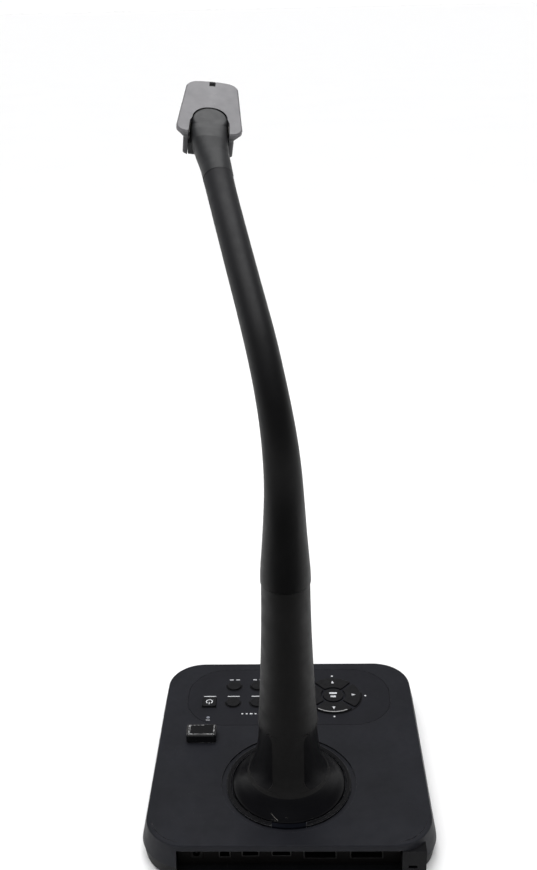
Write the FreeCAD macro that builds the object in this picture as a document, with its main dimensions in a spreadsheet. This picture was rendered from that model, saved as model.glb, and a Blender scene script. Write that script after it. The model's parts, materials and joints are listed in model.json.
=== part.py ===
import FreeCAD, Part
import math
import os
import Sketcher
from FreeCAD import Placement, Rotation, Vector

# Document camera: a flat desk base with a control panel, a round column, a curved arm that swivels on
# the column, a turning neck and a tilting camera head.
# Millimetres, +Z up, origin on the desk under the middle of the base, control panel toward -Y.

os.makedirs("parts", exist_ok=True)
doc = FreeCAD.newDocument("document_camera")
sheet = doc.addObject("Spreadsheet::Sheet", "Dims")

DIMS = {
    # base
    "base_width": 225.0,
    "base_depth": 231.0,
    "corner_radius": 32.0,
    "foot_height": 2.5,
    "split_height": 14.0,
    "deck_height": 32.0,
    "deck_thickness": 3.5,
    "wall": 2.5,
    "skirt_flare": 4.0,
    "port_bay_width": 173.2,
    "port_bay_depth": 9.0,
    "port_bay_top": 27.5,
    "port_bay_floor": 5.0,
    # control panel
    "panel_width": 185.0,
    "panel_depth": 80.5,
    "panel_radius": 35.0,
    "panel_thickness": 2.0,
    "panel_gap": 0.4,
    "key_radius": 6.25,
    "key_rise": 1.2,
    "key_gap": 0.3,
    "nav_outer": 25.2,
    "nav_inner": 11.2,
    "nav_centre_radius": 9.25,
    "power_size": 12.5,
    "edge_round": 0.4,
    "deck_round": 1.2,
    # thumb slider
    "slider_width": 26.0,
    "slider_depth": 15.5,
    "slider_height": 8.0,
    "slider_travel": 4.0,
    # column and swivel
    "column_y": 46.4,
    "dish_radius": 55.5,
    "dish_depth": 1.5,
    "ring_outer": 51.2,
    "ring_inner": 46.9,
    "shell_wall": 2.0,
    "strap_width": 26.0,
    "strap_thickness": 0.8,
    "seam_height": 223.0,
    "spindle_radius": 10.0,
    "mast_bore": 12.0,
    "mast_radius": 14.0,
    "run_fit": 0.05,
    # arm
    "arm_wall": 2.0,
    "arm_core_radius": 4.0,
    "arm_heading": 14.45,
    "neck_radius": 12.6,
    "neck_pin_radius": 6.0,
    # head
    "head_half_rear": 28.7,
    "head_half_front": 22.2,
    "head_rear": 23.3,
    "head_front": 55.9,
    "head_top": 9.5,
    "head_split": 5.8,
    "head_bottom": 16.0,
    "ball_radius": 17.0,
    "tongue_half": 16.4,
    "axle_radius": 3.0,
    "lens_radius": 10.5,
    "lens_ahead": 31.9,
}
for row, (alias, value) in enumerate(DIMS.items(), start=1):
    sheet.set(f"A{row}", alias)
    sheet.set(f"B{row}", str(value))
    sheet.setAlias(f"B{row}", alias)
doc.recompute()


class Measure:
    """A number together with the sheet expression that gives it, so that both stay the same."""

    def __init__(self, value, text):
        self.value = float(value)
        self.text = text

    def __float__(self):
        return self.value

    def __add__(self, other):
        other = measure(other)
        return Measure(self.value + other.value, f"({self.text} + {other.text})")

    def __sub__(self, other):
        other = measure(other)
        return Measure(self.value - other.value, f"({self.text} - {other.text})")

    def __rsub__(self, other):
        return measure(other) - self

    def __mul__(self, other):
        other = measure(other)
        return Measure(self.value * other.value, f"({self.text} * {other.text})")

    def __truediv__(self, other):
        other = measure(other)
        return Measure(self.value / other.value, f"({self.text} / {other.text})")

    __radd__ = __add__
    __rmul__ = __mul__


def measure(value):
    return value if isinstance(value, Measure) else Measure(value, f"{float(value):.6f}")


class Sizes:
    """The driving dimensions as plain numbers, for places and profiles worked out from them."""

    def __getattr__(self, name):
        return DIMS[name]


class Measures:
    """The driving dimensions as measures, for properties that stay bound to the sheet."""

    def __getattr__(self, name):
        return Measure(DIMS[name], "Dims." + name)


d = Sizes()
m = Measures()
NODES = []


def node(obj, name):
    """Labels a finished object as one sub-part of the camera and lists it to be written."""
    obj.Label = name
    NODES.append(obj)
    return obj


def bind(obj, prop, value):
    """Sets a property from a number, or binds it to the sheet."""
    setattr(obj, prop, float(value))
    if isinstance(value, Measure):
        obj.setExpression(prop, value.text)


def box(name, size, corner):
    """A box with its low corner at corner; sizes may be expressions."""
    obj = doc.addObject("Part::Box", name)
    for prop, value in zip(("Length", "Width", "Height"), size):
        bind(obj, prop, value)
    obj.Placement = Placement(Vector(*corner), Rotation())
    return obj


def cylinder(name, radius, height, foot, direction=(0, 0, 1), angle=None, start=0.0):
    """A cylinder from foot along direction, or a sector of one that begins at start degrees."""
    obj = doc.addObject("Part::Cylinder", name)
    bind(obj, "Radius", radius)
    bind(obj, "Height", height)
    if angle is not None:
        obj.Angle = angle
    turn = Rotation(Vector(0, 0, 1), Vector(*direction)).multiply(Rotation(Vector(0, 0, 1), start))
    obj.Placement = Placement(Vector(*foot), turn)
    return obj


def fuse(name, shapes):
    obj = doc.addObject("Part::MultiFuse", name)
    obj.Shapes = shapes
    return obj


def cut(name, base, tools):
    obj = doc.addObject("Part::Cut", name)
    obj.Base = base
    obj.Tool = tools[0] if len(tools) == 1 else fuse(name + "_tools", tools)
    return obj


def origin_plane(body, role="XY_Plane"):
    return next(f for f in body.Origin.OriginFeatures if f.Role == role)


def rounded_block(name, width, depth, radius, length, base=(0, 0, 0), taper=0.0):
    """A rounded rectangle centred on its origin and padded upward; taper leans its sides out."""
    body = doc.addObject("PartDesign::Body", name)
    sketch = body.newObject("Sketcher::SketchObject", name + "_outline")
    sketch.AttachmentSupport = [(origin_plane(body), "")]
    sketch.MapMode = "FlatFace"
    w, h, r = float(width) / 2, float(depth) / 2, float(radius)
    arc = Part.ArcOfCircle
    z = Vector(0, 0, 1)
    corners = [(w - r, h - r, 0), (-w + r, h - r, 90), (-w + r, -h + r, 180), (w - r, -h + r, 270)]
    for cx, cy, a in corners:
        ring = Part.Circle(Vector(cx, cy, 0), z, r)
        sketch.addGeometry(arc(ring, math.radians(a), math.radians(a + 90)), False)
    sides = [
        ((w - r, h), (-w + r, h)),
        ((-w, h - r), (-w, -h + r)),
        ((-w + r, -h), (w - r, -h)),
        ((w, -h + r), (w, h - r)),
    ]
    for p, q in sides:
        sketch.addGeometry(Part.LineSegment(Vector(*p, 0), Vector(*q, 0)), False)
    add = sketch.addConstraint
    for i in range(4):
        line = 4 + i
        add(Sketcher.Constraint("Tangent", i, 2, line, 1))
        add(Sketcher.Constraint("Tangent", line, 2, (i + 1) % 4, 1))
    for i in range(1, 4):
        add(Sketcher.Constraint("Equal", 0, i))
    add(Sketcher.Constraint("Horizontal", 4))
    add(Sketcher.Constraint("Vertical", 5))
    add(Sketcher.Constraint("Symmetric", 0, 3, 2, 3, -1, 1))
    corner = add(Sketcher.Constraint("Radius", 0, r))
    across = add(Sketcher.Constraint("DistanceX", 2, 3, 0, 3, 2 * (w - r)))
    along = add(Sketcher.Constraint("DistanceY", 2, 3, 0, 3, 2 * (h - r)))
    bound = (
        (corner, measure(radius)),
        (across, measure(width) - 2 * measure(radius)),
        (along, measure(depth) - 2 * measure(radius)),
    )
    for index, value in bound:
        if "Dims." in value.text:
            sketch.setExpression(f"Constraints[{index}]", value.text)
    pad = body.newObject("PartDesign::Pad", name + "_pad")
    pad.Profile = sketch
    bind(pad, "Length", length)
    pad.TaperAngle = taper
    sketch.Visibility = False
    body.Tip = pad
    body.Placement = Placement(Vector(*base), Rotation())
    return body


def lathe(name, points, place):
    """A solid turned about its own Z axis from (radius, height) points."""
    body = doc.addObject("PartDesign::Body", name)
    sketch = body.newObject("Sketcher::SketchObject", name + "_profile")
    sketch.AttachmentSupport = [(origin_plane(body, "XZ_Plane"), "")]
    sketch.MapMode = "FlatFace"
    count = len(points)
    for i, (r, z) in enumerate(points):
        r2, z2 = points[(i + 1) % count]
        sketch.addGeometry(Part.LineSegment(Vector(r, z, 0), Vector(r2, z2, 0)), False)
    for i in range(count):
        sketch.addConstraint(Sketcher.Constraint("Coincident", i, 2, (i + 1) % count, 1))
    turned = body.newObject("PartDesign::Revolution", name + "_turned")
    turned.Profile = sketch
    turned.ReferenceAxis = (sketch, ["V_Axis"])
    turned.Angle = 360.0
    sketch.Visibility = False
    body.Tip = turned
    body.Placement = Placement(Vector(*place), Rotation())
    return body


def rounded_wire(points, radii, height):
    """A closed wire through flat points with its corners rounded, at one height."""
    edges = []
    marks = []
    count = len(points)
    for i, (x, y) in enumerate(points):
        here = Vector(x, y, height)
        back = Vector(*points[i - 1], height) - here
        on = Vector(*points[(i + 1) % count], height) - here
        back.normalize()
        on.normalize()
        half = back.getAngle(on) / 2.0
        reach = radii[i] / math.tan(half)
        middle = (back + on).normalize() * (radii[i] / math.sin(half) - radii[i])
        marks.append((here + back * reach, here + middle, here + on * reach))
    for i, (start, middle, end) in enumerate(marks):
        edges.append(Part.Arc(start, middle, end).toShape())
        edges.append(Part.LineSegment(end, marks[(i + 1) % count][0]).toShape())
    return Part.Wire(edges)


def section(name, place, half_width, half_height, power=2.0):
    """A smooth closed section, an ellipse that grows squarer with power, across place's Y axis."""
    points = []
    steps = 24
    for i in range(steps):
        a = 2.0 * math.pi * i / steps
        c, s = math.cos(a), math.sin(a)
        x = half_width * math.copysign(abs(c) ** (2.0 / power), c)
        z = half_height * math.copysign(abs(s) ** (2.0 / power), s)
        points.append(place.multVec(Vector(x, 0, z)))
    curve = Part.BSplineCurve()
    curve.interpolate(points, PeriodicFlag=True)
    obj = doc.addObject("Part::Feature", name)
    obj.Shape = Part.Wire([curve.toShape()])
    return obj


def loft(name, sections, ruled=False):
    obj = doc.addObject("Part::Loft", name)
    obj.Sections = sections
    obj.Solid = True
    obj.Ruled = ruled
    return obj


def wire(name, points, radii, height):
    obj = doc.addObject("Part::Feature", name)
    obj.Shape = rounded_wire(points, radii, height)
    return obj


def settle(obj, place):
    """Puts a finished sub-part into the assembly."""
    obj.Placement = place.multiply(obj.Placement)
    return obj


def soften(name, base, radius, chosen):
    """Rounds those edges of a shape that chosen accepts."""
    doc.recompute()
    obj = doc.addObject("Part::Fillet", name)
    obj.Base = base
    edges = [i for i, edge in enumerate(base.Shape.Edges, start=1) if chosen(edge)]
    obj.Edges = [(i, float(radius), float(radius)) for i in edges]
    return obj


def level(height):
    """Accepts the edges that lie flat at one height."""
    return lambda edge: edge.BoundBox.ZLength < 0.01 and abs(edge.BoundBox.ZMin - height) < 0.01


def upright(edge):
    """Accepts the straight edges that stand upright."""
    return edge.BoundBox.ZLength > 1.0 and edge.BoundBox.XLength < 0.01 and edge.BoundBox.YLength < 0.01


# ---------------------------------------------------------------- base housing

split = d.split_height
foot = d.foot_height
deck = d.deck_height
lip_rise = deck - split
flare_angle = math.degrees(math.atan(d.skirt_flare / lip_rise))
rear = d.base_depth / 2
bay_front = rear - d.port_bay_depth
bay_half = d.port_bay_width / 2


def bay(name, low, high):
    """The open bay across the rear that the sockets face."""
    return box(name, (d.port_bay_width, 40.0, high - low), (-bay_half, bay_front, low))


# The lock block stands in a seat cut into the rear right corner, beside the bay.
lock_size = (18.4, 12.2, 22.8)
lock_corner = (-105.0, 104.3, 4.0)


def lock_seat(name):
    size = (lock_size[0] + 0.2, lock_size[1] + 10.0, lock_size[2] + 0.2)
    return box(name, size, [c - 0.1 for c in lock_corner])


FOOT_PLACES = {
    "front_left": (84.0, -90.0),
    "front_right": (-84.0, -90.0),
    "rear_left": (84.0, 84.0),
    "rear_right": (-84.0, 84.0),
}
SCREW_PLACES = {
    "front_left": (100.0, -62.0),
    "front_right": (-100.0, -62.0),
    "rear_left": (100.0, 62.0),
    "rear_right": (-100.0, 62.0),
}
foot_radius = 8.0
foot_seat = 1.0
screw_radius = 1.5
screw_head_radius = 3.0

pan_outer = rounded_block(
    "pan_outer", m.base_width + m.skirt_flare, m.base_depth + m.skirt_flare,
    m.corner_radius + m.skirt_flare / 2, m.split_height - m.foot_height,
    (0, 0, foot), 9.0,
)
pan_inner = rounded_block(
    "pan_inner", m.base_width - 2 * m.wall, m.base_depth - 2 * m.wall,
    m.corner_radius - m.wall, m.split_height, (0, 0, foot + d.wall),
)
pan_tools = [pan_inner, bay("pan_bay", d.port_bay_floor, split + 1), lock_seat("pan_lock_seat")]
for key, (x, y) in FOOT_PLACES.items():
    pan_tools.append(cylinder("pan_seat_" + key, foot_radius + 0.1, foot_seat, (x, y, foot)))
for key, (x, y) in SCREW_PLACES.items():
    pan_tools.append(cylinder("pan_screw_" + key, screw_radius + 0.2, 8.0, (x, y, foot - 1)))
    pan_tools.append(cylinder("pan_head_" + key, screw_head_radius + 0.3, 1.6, (x, y, foot - 0.1)))
node(cut("pan_cut", pan_outer, pan_tools), "base_pan")

cover_outer = rounded_block(
    "cover_outer", m.base_width + 2 * m.skirt_flare, m.base_depth + 2 * m.skirt_flare,
    m.corner_radius + m.skirt_flare, m.deck_height - m.split_height,
    (0, 0, split), -flare_angle,
)
cover_soft = soften("cover_soft", cover_outer, d.deck_round, level(deck))
cover_inner = rounded_block(
    "cover_inner", m.base_width - 2 * m.wall, m.base_depth - 2 * m.wall,
    m.corner_radius - m.wall, m.deck_height - m.split_height - m.deck_thickness,
    (0, 0, split),
)
panel_y = -65.3
panel_pocket = rounded_block(
    "panel_pocket", m.panel_width + 2 * m.panel_gap, m.panel_depth + 2 * m.panel_gap,
    m.panel_radius + m.panel_gap, m.panel_thickness + 1,
    (0, panel_y, deck - d.panel_thickness),
)
dish = cylinder(
    "dish", m.dish_radius, m.dish_depth + 1, (0, d.column_y, deck - d.dish_depth)
)
mast_hole = cylinder("mast_hole", m.mast_radius + 2, 10.0, (0, d.column_y, deck - 6))


def rim_groove(name, side, start):
    """A shallow groove that sets a narrow rim apart around one rear corner of the deck."""
    x = side * (d.base_width / 2 - d.corner_radius)
    y = rear - d.corner_radius
    middle = (x, y, deck - rim_groove_depth)
    half = rim_groove_width / 2
    outer = rim_groove_radius + half
    full = cylinder(name + "_full", outer, 4.0, middle, angle=rim_groove_sweep, start=start)
    core = cylinder(name + "_core", rim_groove_radius - half, 6.0, (x, y, deck - 2.0))
    return cut(name, full, [core])


rim_groove_radius = 28.4
rim_groove_width = 0.7
rim_groove_depth = 0.5
rim_groove_sweep = 65.0
rim_grooves = [rim_groove("rim_groove_left", 1, 15.0), rim_groove("rim_groove_right", -1, 100.0)]

# ---------------------------------------------------------------- keys of the control panel

key_foot = 25.6
key_top = deck + d.key_rise
flange_top = deck - d.deck_thickness - 0.3
ROUND_KEYS = {
    "key_near_left": (51.0, -56.5),
    "key_near_middle": (29.0, -56.5),
    "key_near_right": (7.5, -56.5),
    "key_far_left": (51.0, -80.8),
    "key_far_middle": (29.0, -80.8),
    "key_far_right": (7.5, -80.8),
}
NAV_CENTRE = (-40.8, -65.6)
# Each arrow key is a sector; the number is the angle of its middle, seen from above.
NAV_KEYS = {"nav_rear": 90.0, "nav_left": 0.0, "nav_front": 270.0, "nav_right": 180.0}
nav_sweep = 82.0
nav_corner = 1.8
POWER_KEY = (72.8, -56.6)
LED = (72.5, -35.5)
lamp_radius = 1.5


def sector(name, outer, inner, low, high, middle, sweep, corner):
    """A piece of a flat ring around the middle of the arrow keys, with its corners rounded."""
    x, y = NAV_CENTRE
    full = cylinder(name + "_full", outer, high - low, (x, y, low), angle=sweep, start=middle - sweep / 2)
    core = cylinder(name + "_core", inner, high - low + 2, (x, y, low - 1))
    ring_piece = cut(name + "_ring", full, [core])
    return soften(name, ring_piece, corner, upright)


def key_holes(prefix):
    """The holes every key, and the lamp, passes through."""
    tools = []
    for name, (x, y) in ROUND_KEYS.items():
        tools.append(cylinder(prefix + name, m.key_radius + m.key_gap, 12.0, (x, y, deck - 8)))
    for name, middle in NAV_KEYS.items():
        outer, inner = d.nav_outer + d.key_gap, d.nav_inner - d.key_gap
        tools.append(
            sector(prefix + name, outer, inner, deck - 8, deck + 4, middle, nav_sweep + 2, nav_corner)
        )
    tools.append(
        cylinder(prefix + "centre", m.nav_centre_radius + m.key_gap, 12.0, (*NAV_CENTRE, deck - 8))
    )
    x, y = POWER_KEY
    size = d.power_size + 2 * d.key_gap
    tools.append(box(prefix + "power", (size, size, 12.0), (x - size / 2, y - size / 2, deck - 8)))
    tools.append(cylinder(prefix + "lamp", lamp_radius + 0.1, 12.0, (*LED, deck - 8)))
    return tools


SLIDER = (76.0, -9.0)
stem_width, stem_depth = 10.0, 4.0
slot_gap = 0.4
slot_width = stem_width + 2 * slot_gap
slot_depth = stem_depth + 2 * (d.slider_travel + slot_gap)
slot = box(
    "slider_slot", (slot_width, slot_depth, 8.0),
    (SLIDER[0] - slot_width / 2, SLIDER[1] - slot_depth / 2, deck - 6),
)
cover_tools = [cover_inner, panel_pocket, dish, mast_hole, slot, bay("cover_bay", split - 1, d.port_bay_top)]
cover_tools.append(lock_seat("cover_lock_seat"))
cover_tools += key_holes("deck_")
cover_tools += rim_grooves
node(cut("cover_cut", cover_soft, cover_tools), "deck_cover")

panel_block = rounded_block(
    "panel_block", m.panel_width, m.panel_depth, m.panel_radius, m.panel_thickness - 0.05,
    (0, panel_y, deck - d.panel_thickness + 0.05),
)
node(cut("panel_cut", panel_block, key_holes("panel_")), "control_panel")


def key_stack(name, cap, flange):
    """A key: a soft-edged cap that stands above the panel and a flange that keeps it under the deck."""
    soft = soften(name + "_soft", cap, d.edge_round, level(key_top))
    return node(fuse(name + "_solid", [soft, flange]), name)


flange_reach = 0.9
for name, (x, y) in ROUND_KEYS.items():
    cap = cylinder(name + "_cap", m.key_radius, key_top - key_foot, (x, y, key_foot))
    flange = cylinder(
        name + "_flange", m.key_radius + flange_reach, flange_top - key_foot, (x, y, key_foot)
    )
    key_stack(name, cap, flange)
for name, middle in NAV_KEYS.items():
    cap = sector(
        name + "_cap", d.nav_outer, d.nav_inner, key_foot, key_top, middle, nav_sweep, nav_corner
    )
    flange = sector(
        name + "_flange", d.nav_outer + flange_reach, d.nav_inner, key_foot, flange_top,
        middle, nav_sweep, nav_corner,
    )
    key_stack(name, cap, flange)
cap = cylinder("centre_cap", m.nav_centre_radius, key_top - key_foot, (*NAV_CENTRE, key_foot))
flange = cylinder(
    "centre_flange", m.nav_centre_radius + 0.7, flange_top - key_foot, (*NAV_CENTRE, key_foot)
)
key_stack("nav_centre", cap, flange)
power_block = rounded_block(
    "power_block", m.power_size, m.power_size, 2.0, key_top - key_foot, (*POWER_KEY, key_foot)
)
power_rim = rounded_block(
    "power_rim", m.power_size + 2 * flange_reach, m.power_size + 2 * flange_reach, 2.5,
    flange_top - key_foot, (*POWER_KEY, key_foot),
)
key_stack("power_key", power_block, power_rim)
lamp_foot = 23.4
node(cylinder("led_lens", lamp_radius, deck + 0.2 - lamp_foot, (*LED, lamp_foot)), "power_lamp_lens")

# ---------------------------------------------------------------- thumb slider

x, y = SLIDER
knob_foot = deck + 0.3
knob = rounded_block("knob", m.slider_width, m.slider_depth, 2.5, m.slider_height, (x, y, knob_foot))
knob_soft = soften("knob_soft", knob, 1.2, level(knob_foot + d.slider_height))
stem_low = deck - d.deck_thickness - 2.4
stem = box(
    "knob_stem", (stem_width, stem_depth, deck + 1.0 - stem_low),
    (x - stem_width / 2, y - stem_depth / 2, stem_low),
)
keeper_width, keeper_depth = 16.0, 8.0
keeper = box(
    "knob_keeper", (keeper_width, keeper_depth, 2.0),
    (x - keeper_width / 2, y - keeper_depth / 2, stem_low),
)
node(fuse("knob_solid", [knob_soft, stem, keeper]), "thumb_slider")

# ---------------------------------------------------------------- boards, ballast, feet, screws

board_top = 21.6
board_thickness = 1.6
switch_size = 6.0
nav_switch_radius = 18.2
key_board = box(
    "key_board_plate", (150.0, 62.0, board_thickness), (-74.0, -96.0, board_top - board_thickness)
)
switches = [key_board]
spots = dict(ROUND_KEYS)
spots["power"] = POWER_KEY
spots["centre"] = NAV_CENTRE
for name, middle in NAV_KEYS.items():
    a = math.radians(middle)
    spots[name] = (
        NAV_CENTRE[0] + nav_switch_radius * math.cos(a),
        NAV_CENTRE[1] + nav_switch_radius * math.sin(a),
    )
for name, (sx, sy) in spots.items():
    switch_corner = (sx - switch_size / 2, sy - switch_size / 2, board_top - 0.1)
    switches.append(box("switch_" + name, (switch_size, switch_size, 3.1), switch_corner))
switches.append(box("lamp_chip", (2.0, 1.4, 1.4), (LED[0] - 1.0, LED[1] - 0.7, board_top - 0.1)))
node(fuse("key_board_solid", switches), "key_board")

main_parts = [box("main_plate", (160.0, 24.0, board_thickness), (-80.0, 80.0, 9.0))]
for i, cx in enumerate((-50.0, -20.0, 18.0, 52.0)):
    main_parts.append(box(f"chip_{i}", (10.0, 10.0, 1.6), (cx, 84.0, 10.5)))
node(fuse("main_board_solid", main_parts), "main_board")

ballast_block = rounded_block("ballast_block", 150.0, 70.0, 10.0, 6.0, (0, -40.0, foot + d.wall + 0.1))
node(ballast_block, "ballast_plate")

for key, (x, y) in FOOT_PLACES.items():
    node(cylinder("pad_" + key, foot_radius, foot + foot_seat, (x, y, 0)), "foot_" + key)
for key, (x, y) in SCREW_PLACES.items():
    shank = cylinder("shank_" + key, screw_radius, 7.0, (x, y, foot + 1.4))
    head = cylinder("screw_head_" + key, screw_head_radius, 1.3, (x, y, foot + 0.1))
    node(fuse("screw_solid_" + key, [shank, head]), "base_screw_" + key)

# ---------------------------------------------------------------- sockets along the rear

panel_rear = bay_front
plate_thickness = 2.0
plate_gap = 0.2
panel_plate = box(
    "port_plate",
    (d.port_bay_width - 2 * plate_gap, plate_thickness, d.port_bay_top - d.port_bay_floor - 2 * plate_gap),
    (-bay_half + plate_gap, panel_rear - plate_thickness, d.port_bay_floor + plate_gap),
)
# name: (middle x, opening width, opening height, depth behind the panel)
SOCKETS = {
    "power_inlet": (72.0, 9.0, 9.0, 12.0),
    "usb_device_socket": (50.0, 9.5, 8.0, 12.0),
    "usb_host_socket": (30.0, 14.0, 6.5, 14.0),
    "digital_video_socket": (6.0, 15.6, 6.0, 11.0),
    "analog_video_out": (-24.0, 26.0, 11.0, 10.0),
    "analog_video_in": (-60.0, 26.0, 11.0, 10.0),
}
socket_z = 16.0
holes = []
for name, (cx, w, h, deep) in SOCKETS.items():
    left, low = cx - w / 2, socket_z - h / 2
    mouth_deep = deep - 3.0
    holes.append(box("hole_" + name, (w, 8.0, h), (left, panel_rear - 5.0, low)))
    shell = box(
        "shell_" + name, (w - 0.4, deep, h - 0.4), (left + 0.2, panel_rear + 0.6 - deep, low + 0.2)
    )
    mouth = box(
        "mouth_" + name, (w - 2.0, mouth_deep, h - 2.0),
        (left + 1.0, panel_rear + 0.7 - mouth_deep, low + 1.0),
    )
    tongue = box(
        "blade_" + name, (w - 5.0, deep - 4.0, 1.2), (left + 2.5, panel_rear - deep + 2.0, socket_z - 0.6)
    )
    if name.startswith("analog"):
        tongue = box(
            "blade_" + name, (w - 2.5, 2.0, h - 2.5), (left + 1.25, panel_rear + 0.5 - mouth_deep, low + 1.25)
        )
    if name == "power_inlet":
        mouth = cylinder("mouth_" + name, 3.0, mouth_deep, (cx, panel_rear + 0.7, socket_z), (0, -1, 0))
        tongue = cylinder("blade_" + name, 0.8, deep - 2.0, (cx, panel_rear - 0.5, socket_z), (0, -1, 0))
    hollow = cut("hollow_" + name, shell, [mouth])
    node(fuse("socket_" + name, [hollow, tongue]), name)
node(cut("port_cut", panel_plate, holes), "rear_port_panel")

lock_block = box("lock_block", lock_size, lock_corner)
lock_slot = box("lock_slot", (7.0, 8.0, 3.0), (-98.3, lock_corner[1] + lock_size[1] - 5.0, 10.0))
node(cut("lock_cut", lock_block, [lock_slot]), "security_slot_block")

# ---------------------------------------------------------------- column

place = (0, d.column_y, deck)
dish_floor = 0.05 - d.dish_depth
ring_shoulder, ring_crown = 0.4, 1.0
tab_width, tab_gap, tab_crown = 26.5, 0.4, 0.3
ring_blank = lathe("ring_blank", [
    (d.ring_inner, dish_floor), (d.ring_outer, dish_floor), (d.ring_outer, ring_shoulder),
    (d.ring_outer - 1.0, ring_crown), (d.ring_inner + 1.0, ring_crown), (d.ring_inner, ring_shoulder),
], place)


def tab_span(name, width):
    """The stretch of the ring, at the rear, that the index tab takes up."""
    return box(name, (width, 20.0, 8.0), (-width / 2, d.column_y + 38.0, deck - 3))


node(cut("ring_cut", ring_blank, [tab_span("ring_gap", tab_width + 2 * tab_gap)]), "pivot_ring")
tab_inner, tab_outer = d.ring_inner + 0.2, d.ring_outer - 0.2
tab_blank = lathe("tab_blank", [
    (tab_inner, dish_floor), (tab_outer, dish_floor), (tab_outer, tab_crown), (tab_inner, tab_crown),
], place)
tab_keep = tab_span("tab_keep", tab_width)
tab = doc.addObject("Part::Common", "tab_common")
tab.Base = tab_blank
tab.Tool = tab_keep
node(tab, "pivot_index_tab")

# Outline of the flared skirt: height above the deck and outer radius.
skirt_top_radius, column_top = 22.6, 191.0
SKIRT = [
    (dish_floor, 46.3), (0.6, 46.0), (2.5, 44.0), (6.0, 39.5), (12.0, 34.0), (20.0, 29.6),
    (30.0, 26.6), (45.0, 24.3), (60.0, 23.2), (75.0, skirt_top_radius),
]
COLUMN = [(75.2, skirt_top_radius), (95.0, 21.7), (125.0, 20.3), (160.0, 19.1), (column_top, 18.5)]


def tube_profile(rows, wall):
    """The closed outline of a turned shell of one wall thickness."""
    outside = [(r, z) for z, r in rows]
    inside = [(r - wall, z) for z, r in reversed(rows)]
    return outside + inside


node(lathe("skirt_turned", tube_profile(SKIRT, d.shell_wall), place), "pivot_skirt")
upper = lathe("column_upper", tube_profile(COLUMN, d.shell_wall), place)
# The shell runs on down the front and back of the skirt as two straps.
strap_foot = 12.0
strap_gap = 0.06
low = [(z, r) for z, r in SKIRT if z >= strap_foot]
joined = COLUMN[0][0] + 1.3
outside = [(r + d.strap_thickness, z) for z, r in low] + [(skirt_top_radius + 0.4, joined)]
inside = [(skirt_top_radius - 0.6, joined), (skirt_top_radius + 0.01, COLUMN[0][0])]
inside += [(r + strap_gap, z) for z, r in reversed(low)]
straps_turned = lathe("straps_turned", outside + inside, place)
strap_keep = box(
    "strap_keep", (m.strap_width, 110.0, 90.0), (-d.strap_width / 2, d.column_y - 55.0, deck + 5)
)
straps = doc.addObject("Part::Common", "straps")
straps.Base = straps_turned
straps.Tool = strap_keep
node(fuse("column_solid", [upper, straps]), "column_shell")

# The mast stands on a flange under the deck; its top is level with the top of the column.
mast_foot, mast_top = -26.9, 190.0
flange_radius, flange_thickness = 26.0, 3.0
mast_tube = lathe("mast_tube", [
    (d.mast_bore, mast_foot), (d.mast_bore, mast_top), (d.mast_radius, mast_top),
    (d.mast_radius, mast_foot + flange_thickness), (flange_radius, mast_foot + flange_thickness),
    (flange_radius, mast_foot),
], place)
node(mast_tube, "mast")
bush_low, bush_high = 150.0, mast_top
node(lathe("bush_turned", [
    (d.spindle_radius + d.run_fit, bush_low), (d.spindle_radius + d.run_fit, bush_high),
    (d.mast_bore - 0.02, bush_high), (d.mast_bore - 0.02, bush_low),
], place), "swivel_bush")

# ---------------------------------------------------------------- arm

arm_turn = Placement(Vector(0, d.column_y, 0), Rotation(Vector(0, 0, 1), d.arm_heading))
# Along the arm: reach from the column, height above the desk, half width.
ARM = [
    (0.0, 223.8, 19.1), (0.0, 236.0, 18.7), (0.0, 250.0, 17.6), (0.0, 273.0, 15.9), (1.0, 300.0, 14.4),
    (8.5, 327.0, 13.4), (24.5, 352.0, 12.6), (49.3, 377.0, 12.2), (90.0, 407.0, 12.1),
    (137.0, 437.0, 12.1), (183.0, 467.0, 12.2), (212.0, 487.6, d.neck_radius),
]
SLOPES = [90.0, 90.0, 90.0, 89.0, 82.0, 66.0, 52.0, 42.0, 34.5, 33.0, 34.0, 36.0]


def arm_frame(reach, height, slope):
    """The place of one section across the arm: its Y axis points back along the arm."""
    local = Placement(Vector(0, -reach, height), Rotation(Vector(1, 0, 0), -slope))
    return arm_turn.multiply(local)


def arm_sections(name, shrink, rows):
    """The round sections of the arm, each smaller than its row by shrink."""
    out = []
    for i, ((reach, height, half), slope) in enumerate(rows):
        radius = half - shrink
        out.append(section(f"{name}_{i}", arm_frame(reach, height, slope), radius, radius))
    return out


rows = list(zip(ARM, SLOPES))
arm_outer = loft("arm_outer", arm_sections("arm_out", 0.0, rows))
arm_inner = loft("arm_inner", arm_sections("arm_in", d.arm_wall, rows))
node(cut("arm_shell_cut", arm_outer, [arm_inner]), "arm_shell")
# A bent rod runs up inside the shell, clear of the spindle and the neck bearing.
core_rows = [((r, z, d.arm_core_radius), s) for (r, z, w), s in rows[2:-1]]
node(loft("arm_core_loft", arm_sections("core", 0.0, core_rows)), "arm_core")

# The spindle hangs down into the bush; above the seam it widens into a plug that fills the arm's foot.
spindle_foot = deck + bush_low + 2.0
plug_radius, plug_shoulder, plug_top = 16.2, 236.0, 249.5
plug_foot = d.seam_height
spindle = lathe("spindle_turned", [
    (0.0, spindle_foot), (d.spindle_radius, spindle_foot), (d.spindle_radius, plug_foot),
    (plug_radius, plug_foot), (plug_radius, plug_shoulder), (14.5, plug_top), (0.0, plug_top),
], (0, d.column_y, 0))
node(spindle, "arm_spindle")
washer_inner, washer_outer = d.spindle_radius + 0.3, 16.0
washer_low, washer_high = d.seam_height - 0.9, d.seam_height - 0.1
washer = lathe("washer_turned", [
    (washer_inner, washer_low), (washer_outer, washer_low),
    (washer_outer, washer_high), (washer_inner, washer_high),
], (0, d.column_y, 0))
node(washer, "thrust_washer")

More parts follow.
